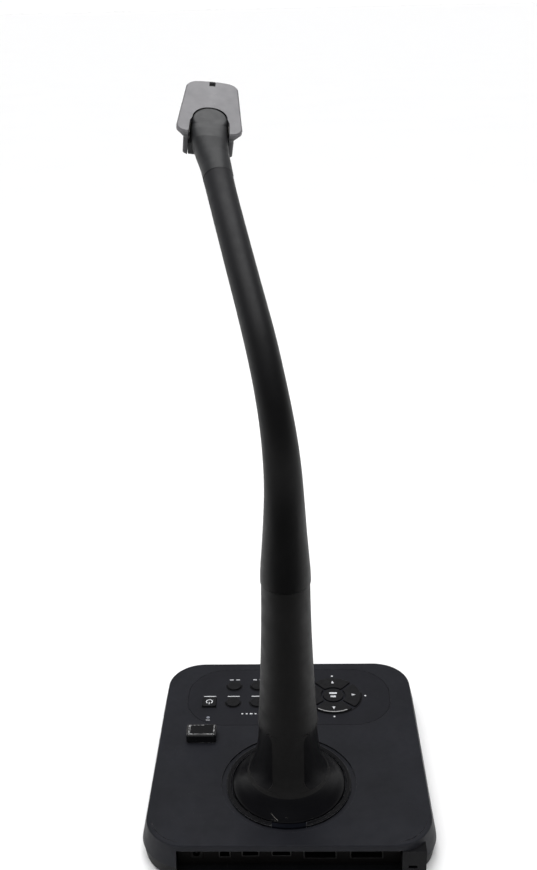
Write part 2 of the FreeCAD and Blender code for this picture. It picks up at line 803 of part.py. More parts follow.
neck_reach, neck_height, _ = ARM[-1]
neck_place = arm_frame(neck_reach, neck_height, SLOPES[-1])
bearing_length = 20.0
bearing_blank = cylinder("bearing_blank", 9.8, bearing_length, (0, 0.4, 0), (0, 1, 0))
bearing_bore = cylinder(
    "bearing_bore", d.neck_pin_radius + d.run_fit, bearing_length + 6.0, (0, -2.0, 0), (0, 1, 0)
)
bearing = node(cut("bearing_cut", bearing_blank, [bearing_bore]), "neck_bearing")
settle(bearing, neck_place)

# ---------------------------------------------------------------- neck

# The middle of the tilt axle, and how the head is turned, pitched and rolled about it.
head_centre = Vector(61.9, -203.3, 523.6)
head_turn = Rotation(Vector(1, 0, 0), -28.0).multiply(Rotation(Vector(0, 1, 0), -7.85))
head_place = Placement(head_centre, head_turn)
arm_end = head_place.inverse().multVec(neck_place.Base)

# Along the neck, in the head's own axes: distance behind the axle, middle sideways and up,
# half width, half height, squareness of the section.
NECK = [
    (arm_end.y, arm_end.x, arm_end.z, d.neck_radius, d.neck_radius, 2.0),
    (47.0, -8.4, -7.6, 12.9, 12.2, 2.1),
    (36.0, -5.0, -5.0, 13.9, 11.4, 2.3),
    (24.0, -1.8, -2.0, 15.2, 10.5, 2.8),
    (14.0, -0.4, -0.6, 15.9, 9.8, 3.4),
    (4.0, 0.0, -0.2, 15.4, 9.4, 4.0),
]
neck_gap = 0.35


def neck_frame(behind, sideways, up):
    """The place of one section of the neck, turned from the arm's direction toward the head's."""
    here = head_place.multVec(Vector(sideways, behind, up))
    share = 1.0 - behind / arm_end.y
    return Placement(here, neck_place.Rotation.slerp(head_turn, share))


def wedge(name, near, far, start, end, low, high):
    """An upright block across the head: near half width at start, far half width at end."""
    points = [(far, end), (-far, end), (-near, start), (near, start)]
    ends = [wire(f"{name}_{i}", points, [0.5] * 4, height) for i, height in enumerate((low, high))]
    return loft(name, ends, True)


tongue_sections = [section(f"tongue_{i}", neck_frame(*row[:3]), *row[3:]) for i, row in enumerate(NECK)]
tongue_loft = loft("tongue_loft", tongue_sections)
bearing_face = cylinder("bearing_face", 40.0, 20.0, (0, -neck_gap, 0), (0, 1, 0))
settle(bearing_face, neck_place)
ball_top, ball_low = d.head_top - 0.2, 0.6 - d.head_bottom
ball = doc.addObject("Part::Sphere", "ball")
bind(ball, "Radius", m.ball_radius)
ball_keep = box(
    "ball_keep", (2 * d.tongue_half, 40.0, ball_top - ball_low), (-d.tongue_half, -20.0, ball_low)
)
knuckle = doc.addObject("Part::Common", "knuckle")
knuckle.Base = ball
knuckle.Tool = ball_keep
knuckle_soft = soften("knuckle_soft", knuckle, 1.0, level(ball_top))
# Below the neck a heel fills the slot of the head, so that no light passes beside the neck.
heel_start, heel_end, heel_top = 2.0, 19.0, -3.0
heel = wedge("heel", d.tongue_half, d.tongue_half + 0.7, heel_start, heel_end, ball_low, heel_top)
tongue_bore = cylinder("tongue_bore", m.axle_radius + m.run_fit, 60.0, (-30.0, 0, 0), (1, 0, 0))
for shape in (knuckle_soft, heel, tongue_bore):
    settle(shape, head_place)
pin_hole = cylinder("neck_pin_hole", d.neck_pin_radius, 16.0, (0, 2.0, 0), (0, -1, 0))
settle(pin_hole, neck_place)
tongue_solid = fuse("tongue_solid", [tongue_loft, knuckle_soft, heel])
node(cut("tongue_cut", tongue_solid, [tongue_bore, pin_hole, bearing_face]), "neck_tongue")
pin_bar = cylinder("neck_pin_bar", m.neck_pin_radius - 0.02, 34.0, (0, 22.0, 0), (0, -1, 0))
settle(node(pin_bar, "neck_pin"), neck_place)

# ---------------------------------------------------------------- camera head, about the axle

rear_y, front_y = d.head_rear, -d.head_front
rear_bow, front_bow = 2.5, 2.7
bow_share = 0.45


def head_layer(name, shrink, height, rear_in=0.0, front_in=0.0, rear_radius=9.0, front_radius=10.0):
    """The outline of the head at one height: wider at the rear, both ends slightly bowed."""
    rear_half, front_half = d.head_half_rear - shrink, d.head_half_front - shrink
    points = [
        (rear_half, rear_y - rear_bow - rear_in), (0.0, rear_y - rear_in),
        (-rear_half, rear_y - rear_bow - rear_in), (-front_half, front_y + front_bow + front_in),
        (0.0, front_y + front_in), (front_half, front_y + front_bow + front_in),
    ]
    rear_sweep = bow_share * rear_half**2 / rear_bow
    front_sweep = bow_share * front_half**2 / front_bow
    radii = [rear_radius, rear_sweep, rear_radius, front_radius, front_sweep, front_radius]
    return wire(name, points, radii, height)


slot_near, slot_far = d.tongue_half + 0.4, d.tongue_half + 1.3
slot_end = rear_y + 5.0


def slot_wedge(name, low, high, grow=0.0):
    """The space for the neck behind the axle, open to the rear."""
    return wedge(name, slot_near + grow, slot_far + grow, 5.0, slot_end, low, high)


def slot_mouth(name, low, high, grow=0.0):
    """Widens the space from the round pocket at the axle to the full slot."""
    return wedge(name, 14.9 + grow, slot_near + grow, 0.0, 6.0, low, high)


pocket = doc.addObject("Part::Sphere", "pocket")
bind(pocket, "Radius", m.ball_radius + 0.7)
top_outer = loft("top_outer", [
    head_layer("top_a", 0.1, d.head_split), head_layer("top_b", 0.0, d.head_top - 1.2),
    head_layer("top_c", 1.2, d.head_top, 1.2, 1.2, 8.0, 9.0),
], True)
roof = 2.0
top_hollow = loft("top_hollow", [
    head_layer("top_d", 2.2, d.head_split - 1.0, 2.2, 2.2, 7.0, 8.0),
    head_layer("top_e", 2.2, d.head_top - roof, 2.2, 2.2, 7.0, 8.0),
], True)
mic_width, mic_depth, mic_y = 5.4, 6.5, front_y + 2.4
mic_hole = box("mic_hole", (mic_width, mic_depth, 8.0), (-mic_width / 2, mic_y, d.head_top - roof - 1.0))
rim_low, rim_high = d.head_split - 3.0, d.head_top + 1.0
rim = [
    cylinder("rim_round", m.ball_radius + 1.8, rim_high - rim_low, (0, 0, rim_low)),
    slot_wedge("rim_slot", rim_low, rim_high, 2.0),
]
hollow_kept = cut("hollow_kept", top_hollow, rim)
top_tools = [
    hollow_kept, pocket, slot_wedge("top_slot", -20.0, rim_high), slot_mouth("top_mouth", -20.0, rim_high),
    mic_hole,
]
node(cut("top_shell_cut", top_outer, top_tools), "head_top_shell")

# Below the plate the sides slope inward to a narrower lower shell.
low_shrink, nose_in, tail_in = 6.9, 5.0, 1.0
low_foot = -d.head_bottom
low_outer = loft("low_outer", [
    head_layer("low_a", low_shrink + 1.5, low_foot, tail_in + 1.5, nose_in + 1.5, 3.0, 5.0),
    head_layer("low_b", low_shrink, low_foot + 1.5, tail_in, nose_in, 4.0, 6.0),
    head_layer("low_c", low_shrink, 1.0, tail_in, nose_in, 4.0, 6.0),
    head_layer("low_d", 0.3, d.head_split - 0.1, 0.3, 0.3, 8.7, 9.7),
], True)
bay_rear, bay_front_y = -20.5, front_y + nose_in + front_bow + 2.2
low_wall = 2.2
lean = (d.head_half_rear - d.head_half_front) / (rear_y - rear_bow - front_y - front_bow)


def low_half(y):
    """Half the width of the lower shell at one distance from the axle."""
    return d.head_half_rear - low_shrink - (rear_y - rear_bow - y) * lean


bay_points = [
    (low_half(bay_rear) - low_wall, bay_rear), (low_wall - low_half(bay_rear), bay_rear),
    (low_wall - low_half(bay_front_y), bay_front_y), (low_half(bay_front_y) - low_wall, bay_front_y),
]
bay_radii = [2.0, 2.0, 4.0, 4.0]
low_bay = loft("low_bay", [
    wire("bay_a", bay_points, bay_radii, low_foot + low_wall),
    wire("bay_b", bay_points, bay_radii, d.head_split + 1.0),
], True)
lens_y = -d.lens_ahead
lamp_width, lamp_depth, lamp_y, lamp_gap = 12.0, 2.2, bay_front_y + 0.3, 0.2
lens_hole = cylinder("lens_hole", m.lens_radius + 0.3, 20.0, (0, lens_y, -30))
lamp_hole = box(
    "lamp_hole", (lamp_width + 2 * lamp_gap, lamp_depth + 2 * lamp_gap, 20.0),
    (-lamp_width / 2 - lamp_gap, lamp_y - lamp_gap, -30),
)
axle_half = 19.2
axle_hole = cylinder(
    "axle_hole", m.axle_radius + 0.02, 2 * axle_half + 0.2, (-axle_half - 0.1, 0, 0), (1, 0, 0)
)
drum = cylinder("drum", m.ball_radius + 0.6, 2 * slot_near, (-slot_near, 0, 0), (1, 0, 0))
washer_radius, washer_thickness, washer_at = 5.5, 0.8, d.tongue_half + 0.1
seat_half = washer_at + washer_thickness + 0.1
washer_seat = cylinder("washer_seat", washer_radius + 0.2, 2 * seat_half, (-seat_half, 0, 0), (1, 0, 0))
low_tools = [
    low_bay, drum, slot_wedge("low_slot", -20.0, 20.0),
    lens_hole, lamp_hole, axle_hole, washer_seat,
]
node(cut("low_shell_cut", low_outer, low_tools), "head_lower_shell")
node(cylinder("axle_bar", m.axle_radius, 2 * axle_half, (-axle_half, 0, 0), (1, 0, 0)), "tilt_axle")


def washer_ring(name, at):
    """A friction washer on the axle, beside the neck."""
    disc = cylinder(name + "_disc", washer_radius, washer_thickness, (at, 0, 0), (1, 0, 0))
    hole = cylinder(name + "_hole", m.axle_radius + 0.1, 3.0, (at - 1, 0, 0), (1, 0, 0))
    return cut(name + "_cut", disc, [hole])


node(washer_ring("washer_a", washer_at), "tilt_washer_left")
node(washer_ring("washer_b", -washer_at - washer_thickness), "tilt_washer_right")
board = box("camera_plate", (21.0, 23.6, 1.4), (-10.5, -45.2, 0.4))
sensor = box("sensor_chip", (10.0, 10.0, 1.6), (-5.0, lens_y - 5.0, -1.1))
node(fuse("camera_board_solid", [board, sensor]), "camera_board")
barrel_foot = -17.2
barrel = cylinder("barrel_outer", m.lens_radius, 15.0, (0, lens_y, barrel_foot))
barrel_bore = cylinder("barrel_bore", 7.6, 20.0, (0, lens_y, -30.0))
barrel_mouth = cylinder("barrel_mouth", 8.6, 3.0, (0, lens_y, barrel_foot - 1.2))
node(cut("barrel_cut", barrel, [barrel_bore, barrel_mouth]), "lens_barrel")
node(cylinder("glass_disc", 8.5, 1.2, (0, lens_y, barrel_foot + 0.6)), "lens_glass")
lamp_body = box(
    "lamp_window_block", (lamp_width, lamp_depth, 2.4), (-lamp_width / 2, lamp_y, low_foot - 0.1)
)
node(lamp_body, "lamp_window")
mic = box("mic_block", (4.8, 5.0, 1.3), (-2.4, mic_y + 0.9, d.head_split + 0.2))
node(mic, "microphone")
HEAD_NODES = (
    "head_top_shell", "head_lower_shell", "tilt_axle", "tilt_washer_left", "tilt_washer_right",
    "camera_board", "lens_barrel", "lens_glass", "lamp_window", "microphone",
)
for obj in NODES:
    if obj.Label in HEAD_NODES:
        settle(obj, head_place)

# ---------------------------------------------------------------- write the sub-parts

doc.recompute()
bad = [o.Name for o in doc.Objects if "Invalid" in o.State or "Error" in o.State]
if bad:
    raise RuntimeError("objects that did not compute: " + ", ".join(bad))
for obj in NODES:
    shape = obj.Shape
    if shape.isNull() or not shape.isValid() or shape.Volume <= 0:
        raise RuntimeError("no valid solid: " + obj.Label)
    if len(shape.Solids) != 1:
        print("note:", obj.Label, "has", len(shape.Solids), "solids")
for obj in NODES:
    obj.Shape.exportStep(os.path.join("parts", obj.Label + ".step"))
print(len(NODES), "sub-parts")
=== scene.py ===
import json
import math

import bmesh
import bpy
from mathutils import Matrix, Vector


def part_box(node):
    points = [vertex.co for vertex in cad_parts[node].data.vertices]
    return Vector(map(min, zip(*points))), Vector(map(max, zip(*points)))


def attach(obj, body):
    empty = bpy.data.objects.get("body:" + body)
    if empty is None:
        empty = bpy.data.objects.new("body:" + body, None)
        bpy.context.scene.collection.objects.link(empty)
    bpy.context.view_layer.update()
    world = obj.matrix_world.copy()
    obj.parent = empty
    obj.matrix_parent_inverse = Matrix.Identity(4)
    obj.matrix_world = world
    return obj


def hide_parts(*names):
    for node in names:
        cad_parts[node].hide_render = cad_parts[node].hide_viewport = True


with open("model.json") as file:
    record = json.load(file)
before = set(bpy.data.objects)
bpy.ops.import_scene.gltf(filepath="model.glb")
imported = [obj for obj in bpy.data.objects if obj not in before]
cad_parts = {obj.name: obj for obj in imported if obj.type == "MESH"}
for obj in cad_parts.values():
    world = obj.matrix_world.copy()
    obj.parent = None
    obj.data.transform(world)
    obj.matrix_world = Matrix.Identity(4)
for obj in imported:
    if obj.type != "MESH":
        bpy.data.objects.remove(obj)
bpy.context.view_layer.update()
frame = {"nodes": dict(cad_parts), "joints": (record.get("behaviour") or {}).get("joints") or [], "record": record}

# Looks of the document camera: finishes for every part of the frame, smooth skins for the column,
# skirt and neck, printed marks, painted shadows, worn edges with painted highlights, a painted sheen, scratches,
# lens elements, and the studio.
# Metres, in the frame's own axes.

MM = 0.001
scene = bpy.context.scene
nodes = frame["nodes"]


def middle(node):
    """The middle of a node's box."""
    low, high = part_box(node)
    return (low + high) / 2


# ---------------------------------------------------------------- camera

IMAGE_HEIGHT = 870
FOCAL_PIXELS = 1022.9
CAMERA_PLACE = Vector((-7.9, 706.9, 626.2)) * MM
YAW, PITCH, ROLL = -0.0275, 0.4055, -0.0227
SENSOR_HEIGHT = 24.0


def make_camera():
    """A level-headed pinhole camera that looks along -Y and down at the object."""
    ahead = Vector((-math.sin(YAW), -math.cos(YAW), 0.0))
    across = Vector((-math.cos(YAW), math.sin(YAW), 0.0))
    up = Vector((0.0, 0.0, 1.0))
    forward = math.cos(PITCH) * ahead - math.sin(PITCH) * up
    top = math.sin(PITCH) * ahead + math.cos(PITCH) * up
    right = math.cos(ROLL) * across + math.sin(ROLL) * top
    top = -math.sin(ROLL) * across + math.cos(ROLL) * top
    data = bpy.data.cameras.new("photo_camera")
    data.sensor_fit = "VERTICAL"
    data.sensor_height = SENSOR_HEIGHT
    data.lens = FOCAL_PIXELS * SENSOR_HEIGHT / IMAGE_HEIGHT
    data.clip_start = 0.01
    data.clip_end = 200.0
    camera = bpy.data.objects.new("photo_camera", data)
    scene.collection.objects.link(camera)
    turn = Matrix((right, top, -forward)).transposed().to_4x4()
    camera.matrix_world = Matrix.Translation(CAMERA_PLACE) @ turn
    scene.camera = camera


make_camera()
scene.view_settings.view_transform = "Standard"

# ---------------------------------------------------------------- material building


class Finish:
    """A node material in the making, around one Principled shader."""

    def __init__(self, name, **sockets):
        self.material = bpy.data.materials.new(name)
        self.material.use_nodes = True
        self.tree = self.material.node_tree
        self.shader = self.tree.nodes["Principled BSDF"]
        self.coordinates = self.tree.nodes.new("ShaderNodeTexCoord").outputs["Object"]
        self.height = None
        for socket, value in sockets.items():
            self.shader.inputs[socket.replace("_", " ")].default_value = value

    def add(self, kind, settings=None, **inputs):
        """Adds a node, sets its settings and gives each named input a value or a link."""
        made = self.tree.nodes.new(kind)
        for key, value in (settings or {}).items():
            setattr(made, key, value)
        for key, value in inputs.items():
            socket = made.inputs[key.replace("_", " ")]
            if isinstance(value, bpy.types.NodeSocket):
                self.tree.links.new(value, socket)
            else:
                socket.default_value = value
        return made

    def stretched(self, stretch):
        """Object coordinates scaled by stretch, for patterns that run one way."""
        if stretch == (1, 1, 1):
            return self.coordinates
        return self.add("ShaderNodeMapping", Vector=self.coordinates, Scale=stretch).outputs["Vector"]

    def noise(self, size, detail=3.0, roughness=0.55, stretch=(1, 1, 1), distortion=0.0):
        """A soft random pattern whose features are about size metres across."""
        made = self.add(
            "ShaderNodeTexNoise", Vector=self.stretched(stretch), Scale=1.0 / size, Detail=detail,
            Roughness=roughness, Distortion=distortion,
        )
        return made.outputs["Fac"]

    def cells(self, size, stretch=(1, 1, 1)):
        """Distance to the nearest of many scattered points about size metres apart."""
        made = self.add("ShaderNodeTexVoronoi", Vector=self.stretched(stretch), Scale=1.0 / size)
        return made.outputs["Distance"]

    def spread(self, source, low, high, to_low=0.0, to_high=1.0):
        """Maps a pattern from low..high to to_low..to_high, clamped."""
        made = self.add("ShaderNodeMapRange", {"clamp": True})
        self.tree.links.new(source, made.inputs["Value"])
        for key, value in (("From Min", low), ("From Max", high), ("To Min", to_low), ("To Max", to_high)):
            made.inputs[key].default_value = value
        return made.outputs["Result"]

    def math(self, operation, first, second):
        made = self.add("ShaderNodeMath", {"operation": operation})
        for index, value in enumerate((first, second)):
            if isinstance(value, bpy.types.NodeSocket):
                self.tree.links.new(value, made.inputs[index])
            else:
                made.inputs[index].default_value = value
        return made.outputs["Value"]

    def blend(self, share, first, second):
        """A colour between two others; each is a colour or a link."""
        made = self.add("ShaderNodeMix", {"data_type": "RGBA"})
        self.tree.links.new(share, made.inputs["Factor"])
        for index, value in ((6, first), (7, second)):
            if isinstance(value, bpy.types.NodeSocket):
                self.tree.links.new(value, made.inputs[index])
            else:
                made.inputs[index].default_value = (*value, 1.0)
        return made.outputs[2]

    def colour(self, source):
        self.tree.links.new(source, self.shader.inputs["Base Color"])

    def rough(self, source):
        self.tree.links.new(source, self.shader.inputs["Roughness"])

    def bump(self, source, distance, strength=1.0):
        """Adds relief of about distance metres to what is already there."""
        made = self.add("ShaderNodeBump", Height=source, Distance=distance, Strength=strength)
        if self.height is not None:
            self.tree.links.new(self.height, made.inputs["Normal"])
        self.height = made.outputs["Normal"]
        self.tree.links.new(self.height, self.shader.inputs["Normal"])

    def edges(self, radius, low=0.02, high=0.25):
        """Where the surface turns a corner within radius: 0 on flat parts, 1 on the edge itself."""
        rounded = self.add("ShaderNodeBevel", {"samples": 4}, Radius=radius).outputs["Normal"]
        true = self.add("ShaderNodeNewGeometry").outputs["Normal"]
        made = self.add("ShaderNodeVectorMath", {"operation": "DOT_PRODUCT"})
        self.tree.links.new(rounded, made.inputs[0])
        self.tree.links.new(true, made.inputs[1])
        turned = self.math("SUBTRACT", 1.0, made.outputs["Value"])
        return self.spread(turned, low, high)


def tinted(colour, factor):
    return tuple(min(1.0, part * factor) for part in colour)


def moulded(name, colour, roughness, grain=0.35 * MM, relief=0.015 * MM, level=0.3, wear_and_highlight=0.0, dust=0.0,
            wear_and_highlight_colour=(0.12, 0.12, 0.125)):
    """Moulded plastic: fine grain, uneven tone and sheen, pale edges that are partly handling wear and partly
    painted highlight, and a little dust.
    """
    finish = Finish(name, **{"Specular_IOR_Level": level})
    cloud = finish.noise(38 * MM, 4.0)
    tone = finish.blend(finish.spread(cloud, 0.35, 0.65), tinted(colour, 0.86), tinted(colour, 1.14))
    if dust:
        specks = finish.spread(finish.cells(2.6 * MM), 0.10, 0.05)
        patch = finish.spread(finish.noise(22 * MM), 0.52, 0.66)
        tone = finish.blend(finish.math("MULTIPLY", specks, finish.math("MULTIPLY", patch, dust)),
                            tone, (0.2, 0.2, 0.2))
    # Pale edges: partly handling wear, partly painted highlight standing for light caught on rounded edges.
    if wear_and_highlight:
        broken = finish.spread(finish.noise(3.5 * MM, 5.0), 0.38, 0.62)
        edge_wear_and_highlight = finish.math("MULTIPLY", finish.edges(0.5 * MM), finish.math("MULTIPLY", broken, wear_and_highlight))
        tone = finish.blend(edge_wear_and_highlight, tone, wear_and_highlight_colour)
    finish.colour(tone)
    finish.rough(finish.spread(finish.noise(9 * MM, 5.0), 0.3, 0.7, roughness - 0.06, roughness + 0.06))
    finish.bump(finish.noise(grain, 2.0), relief)
    return finish.material


def glossy(name, colour, roughness, level=0.5, wear_and_highlight=0.0, wear_and_highlight_colour=(0.2, 0.2, 0.21)):
    """Polished plastic with handling marks: fine hairlines and faint smears in the gloss."""
    finish = Finish(name, **{"Specular_IOR_Level": level})
    cloud = finish.spread(finish.noise(30 * MM), 0.35, 0.65)
    tone = finish.blend(cloud, tinted(colour, 0.85), tinted(colour, 1.2))
    hairs = finish.spread(finish.noise(0.5 * MM, 2.0, stretch=(1.0, 0.06, 0.3)), 0.66, 0.72)
    across = finish.spread(finish.noise(0.6 * MM, 2.0, stretch=(0.07, 1.0, 0.4)), 0.67, 0.73)
    marks = finish.math("MULTIPLY", finish.math("MAXIMUM", hairs, across), 0.05)
    smear = finish.spread(finish.noise(26 * MM, 2.0, 0.5), 0.4, 0.75, 0.0, 0.06)
    # Pale edges: partly wear, partly painted highlight standing for light caught on rounded edges.
    if wear_and_highlight:
        broken = finish.spread(finish.noise(2.2 * MM, 5.0), 0.36, 0.56)
        edge_wear_and_highlight = finish.math("MULTIPLY", finish.edges(0.7 * MM), finish.math("MULTIPLY", broken, wear_and_highlight))
        tone = finish.blend(edge_wear_and_highlight, tone, wear_and_highlight_colour)
    finish.colour(tone)
    finish.rough(finish.math("ADD", finish.math("ADD", marks, smear), roughness))
    finish.bump(finish.noise(14 * MM, 2.0), 0.02 * MM, 0.4)
    return finish.material


def rubber(name, colour, roughness=0.7):
    """Soft key or foot rubber: a dull, faintly mottled face with fine dust in its grain."""
    finish = Finish(name, **{"Specular_IOR_Level": 0.25})
    mottled = finish.spread(finish.noise(5 * MM, 4.0), 0.35, 0.65)
    tone = finish.blend(mottled, tinted(colour, 0.8), tinted(colour, 1.25))
    specks = finish.spread(finish.cells(0.9 * MM), 0.12, 0.05, 0.0, 0.25)
    finish.colour(finish.blend(specks, tone, (0.1, 0.1, 0.1)))
    finish.rough(finish.spread(finish.noise(4 * MM), 0.3, 0.7, roughness - 0.08, roughness + 0.08))
    finish.bump(finish.noise(0.25 * MM, 2.0), 0.02 * MM)
    return finish.material


def metal(name, colour, roughness, lines=(1.0, 1.0, 0.05)):
    """Plain metal with fine lines from turning, drawing or rolling."""
    finish = Finish(name, Metallic=1.0)
    cloud = finish.spread(finish.noise(12 * MM), 0.3, 0.7)
    tone = finish.blend(cloud, tinted(colour, 0.85), tinted(colour, 1.1))
    finish.colour(tone)
    drawn = finish.noise(0.35 * MM, 3.0, stretch=lines)
    finish.rough(finish.spread(drawn, 0.3, 0.7, roughness - 0.08, roughness + 0.12))
    finish.bump(drawn, 0.004 * MM)
    return finish.material


def board(name):
    """Circuit board: solder mask with faint tracks under it."""
    finish = Finish(name, **{"Specular_IOR_Level": 0.4, "Coat_Weight": 0.3})
    tracks = finish.add("ShaderNodeTexBrick", Vector=finish.coordinates, Scale=260.0).outputs["Fac"]
    finish.colour(finish.blend(tracks, (0.012, 0.09, 0.04), (0.03, 0.16, 0.07)))
    finish.rough(finish.spread(finish.noise(6 * MM), 0.3, 0.7, 0.3, 0.45))
    finish.bump(tracks, 0.03 * MM)
    return finish.material


def printed(name, colour):
    """Screen-printed ink, thin and slightly worn."""
    finish = Finish(name, **{"Specular_IOR_Level": 0.2})
    thin = finish.spread(finish.noise(0.8 * MM, 4.0), 0.3, 0.55)
    finish.colour(finish.blend(thin, tinted(colour, 0.62), colour))
    finish.rough(finish.spread(finish.noise(2 * MM), 0.3, 0.7, 0.5, 0.7))
    return finish.material


def lens_coating(name, colour):
    """Clear glass with a faint coloured coating."""
    finish = Finish(name, **{"Transmission_Weight": 0.85, "IOR": 1.5, "Specular_IOR_Level": 0.8})
    finish.colour(finish.blend(finish.spread(finish.noise(9 * MM), 0.35, 0.65), colour, tinted(colour, 1.3)))
    finish.rough(finish.spread(finish.noise(3 * MM, 4.0), 0.4, 0.8, 0.02, 0.08))
    return finish.material


def marked_shell(name, colour, roughness):
    """The head's painted shell: satin grey with finger smudges and a few scuffs."""
    finish = Finish(name, **{"Specular_IOR_Level": 0.35})
    cloud = finish.spread(finish.noise(26 * MM, 4.0), 0.35, 0.65)
    tone = finish.blend(cloud, tinted(colour, 0.93), tinted(colour, 1.05))
    smudge = finish.spread(finish.noise(9 * MM, 5.0, 0.65), 0.58, 0.75)
    tone = finish.blend(finish.math("MULTIPLY", smudge, 0.22), tone, tinted(colour, 1.6))
    fleck = finish.spread(finish.cells(7 * MM, (1.0, 0.35, 1.0)), 0.045, 0.02)
    tone = finish.blend(finish.math("MULTIPLY", fleck, 0.5), tone, tinted(colour, 2.0))
    # Paler edges: painted highlight standing for light caught on the rounded edges.
    edge_wear_and_highlight = finish.math("MULTIPLY", finish.edges(0.45 * MM), 0.5)
    finish.colour(finish.blend(edge_wear_and_highlight, tone, tinted(colour, 1.5)))
    finish.rough(finish.spread(finish.noise(8 * MM, 4.0), 0.3, 0.7, roughness - 0.07, roughness + 0.07))
    finish.bump(finish.noise(0.3 * MM, 2.0), 0.012 * MM)
    return finish.material


# Where up the arm the painted sheen begins and is complete, as shares of its height.
SHEEN_START, SHEEN_FULL = 0.5, 0.98


def arm_skin(name, low_colour, high_colour):
    """The arm's satin shell: deep black, lightening toward its upper end with a painted sheen that stands for
    overhead light reflected there.
    """
    finish = Finish(name, **{"Specular_IOR_Level": 0.22})
    low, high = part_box("arm_shell")
    rise = high.z - low.z
    axes = finish.add("ShaderNodeSeparateXYZ", Vector=finish.coordinates)
    # Painted sheen: the colour grows lighter with height up the arm, in place of reflected overhead light.
    painted_sheen = finish.spread(axes.outputs["Z"], low.z + SHEEN_START * rise, low.z + SHEEN_FULL * rise)
    uneven = finish.spread(finish.noise(30 * MM, 4.0), 0.3, 0.7, 0.85, 1.0)
    finish.colour(finish.blend(finish.math("MULTIPLY", painted_sheen, uneven), low_colour, high_colour))
    sheen = finish.spread(finish.noise(9 * MM, 5.0), 0.3, 0.7, 0.40, 0.48)
    finish.rough(finish.math("ADD", sheen, finish.math("MULTIPLY", painted_sheen, 0.12)))
    finish.bump(finish.noise(0.35 * MM, 2.0), 0.015 * MM)
    return finish.material


def chipped_and_highlit(name, colour, under):
    """A rubbed and highlit edge: pale where the surface has worn through and where a painted highlight stands for
    light on the edge, dark elsewhere.
    """
    finish = Finish(name, **{"Specular_IOR_Level": 0.4})
    broken = finish.spread(finish.noise(2.0 * MM, 6.0, 0.7), 0.44, 0.58)
    finish.colour(finish.blend(broken, under, colour))
    finish.rough(finish.spread(finish.noise(1.5 * MM), 0.3, 0.7, 0.25, 0.5))
    finish.bump(broken, 0.02 * MM)
    return finish.material


FINISHES = {
    "housing_plastic": moulded(
        "housing_black", (0.0042, 0.0042, 0.005), 0.55, level=0.12, wear_and_highlight=0.2, dust=0.3,
    ),
    "deck_plastic": moulded(
        "deck_black", (0.0105, 0.011, 0.0142), 0.55, level=0.2, wear_and_highlight=0.5, dust=0.25,
    ),
    "panel_plastic": moulded("panel_black", (0.0085, 0.0088, 0.0118), 0.5, level=0.2, dust=0.2),
    "skirt_gloss": glossy("skirt_polished_black", (0.0022, 0.0022, 0.0028), 0.3, level=0.13),
    "column_plastic": moulded("column_satin_black", (0.0045, 0.0043, 0.0043), 0.52, level=0.25, dust=0.1),
    "arm_plastic": arm_skin("arm_satin_black", (0.0016, 0.0016, 0.0018), (0.0135, 0.0135, 0.015)),
    "neck_plastic": moulded("neck_satin_grey", (0.017, 0.0175, 0.0185), 0.5, level=0.3),
    "head_plastic": marked_shell("head_painted_grey", (0.108, 0.106, 0.112), 0.5),
    "head_lower_plastic": moulded("head_lower_grey", (0.04, 0.04, 0.043), 0.5, level=0.3, wear_and_highlight=0.3),
    # The ring's pale edges are a painted highlight.
    "ring_plastic": glossy("ring_polished_black", (0.003, 0.003, 0.0036), 0.4, level=0.12, wear_and_highlight=0.6),
    "tab_plastic": glossy("tab_blue_black", (0.0025, 0.003, 0.005), 0.35, level=0.15),
    "port_plastic": moulded("port_black", (0.0025, 0.0022, 0.0022), 0.6, level=0.08),
    # The slider's pale edges are partly wear and partly painted highlight.
    "slider_gloss": glossy(
        "slider_polished_black", (0.006, 0.006, 0.0065), 0.14, wear_and_highlight=1.0, wear_and_highlight_colour=(0.3, 0.3, 0.31),
    ),
    "lamp_lens": glossy("lamp_lens_frosted", (0.2, 0.21, 0.24), 0.35),
    "socket_plastic": moulded("socket_black", (0.004, 0.004, 0.004), 0.55, level=0.1),
    "socket_metal": metal("socket_plated", (0.035, 0.035, 0.035), 0.5, (0.05, 1.0, 1.0)),
    "board_green": board("circuit_board"),
    "ballast_steel": metal("ballast_rolled", (0.25, 0.25, 0.26), 0.5, (0.05, 1.0, 1.0)),
    "tube_steel": metal("tube_drawn", (0.45, 0.45, 0.46), 0.35),
    "spindle_metal": metal("spindle_turned", (0.55, 0.55, 0.56), 0.28, (1.0, 1.0, 12.0)),
    "bush_plastic": moulded("bush_natural", (0.7, 0.69, 0.64), 0.5),
    "barrel_plastic": moulded("barrel_black", (0.008, 0.008, 0.008), 0.45),
    "lens_glass": lens_coating("lens_coated_glass", (0.35, 0.33, 0.5)),
    "lamp_clear": glossy("lamp_window_clear", (0.6, 0.6, 0.56), 0.3),
    "mic_mesh": moulded("mic_black", (0.004, 0.004, 0.004), 0.6),
    "foot_rubber": rubber("foot_rubber", (0.02, 0.02, 0.02)),
    "screw_steel": metal("screw_plated", (0.42, 0.42, 0.4), 0.35, (1.0, 1.0, 8.0)),
    "key_rubber": rubber("key_rubber", (0.004, 0.004, 0.0048), 0.55),
}
INK = printed("mark_ink_white", (0.62, 0.63, 0.65))
# Pale ink for a painted highlight on a key edge.
EDGE_HIGHLIGHT = printed("edge_highlight_pale", (0.36, 0.36, 0.36))
# Pale strips on the slider's edges: partly wear, partly painted highlight.
CHIPPED_HIGHLIT = chipped_and_highlit("slider_chipped_highlit_edge", (0.34, 0.34, 0.34), (0.01, 0.01, 0.01))
# Near-black ink for the painted shadow rims around the keys.
SHADE = printed("key_shadow_black", (0.0012, 0.0012, 0.0014))
SCUFF = printed("scuff_pale", (0.24, 0.23, 0.21))

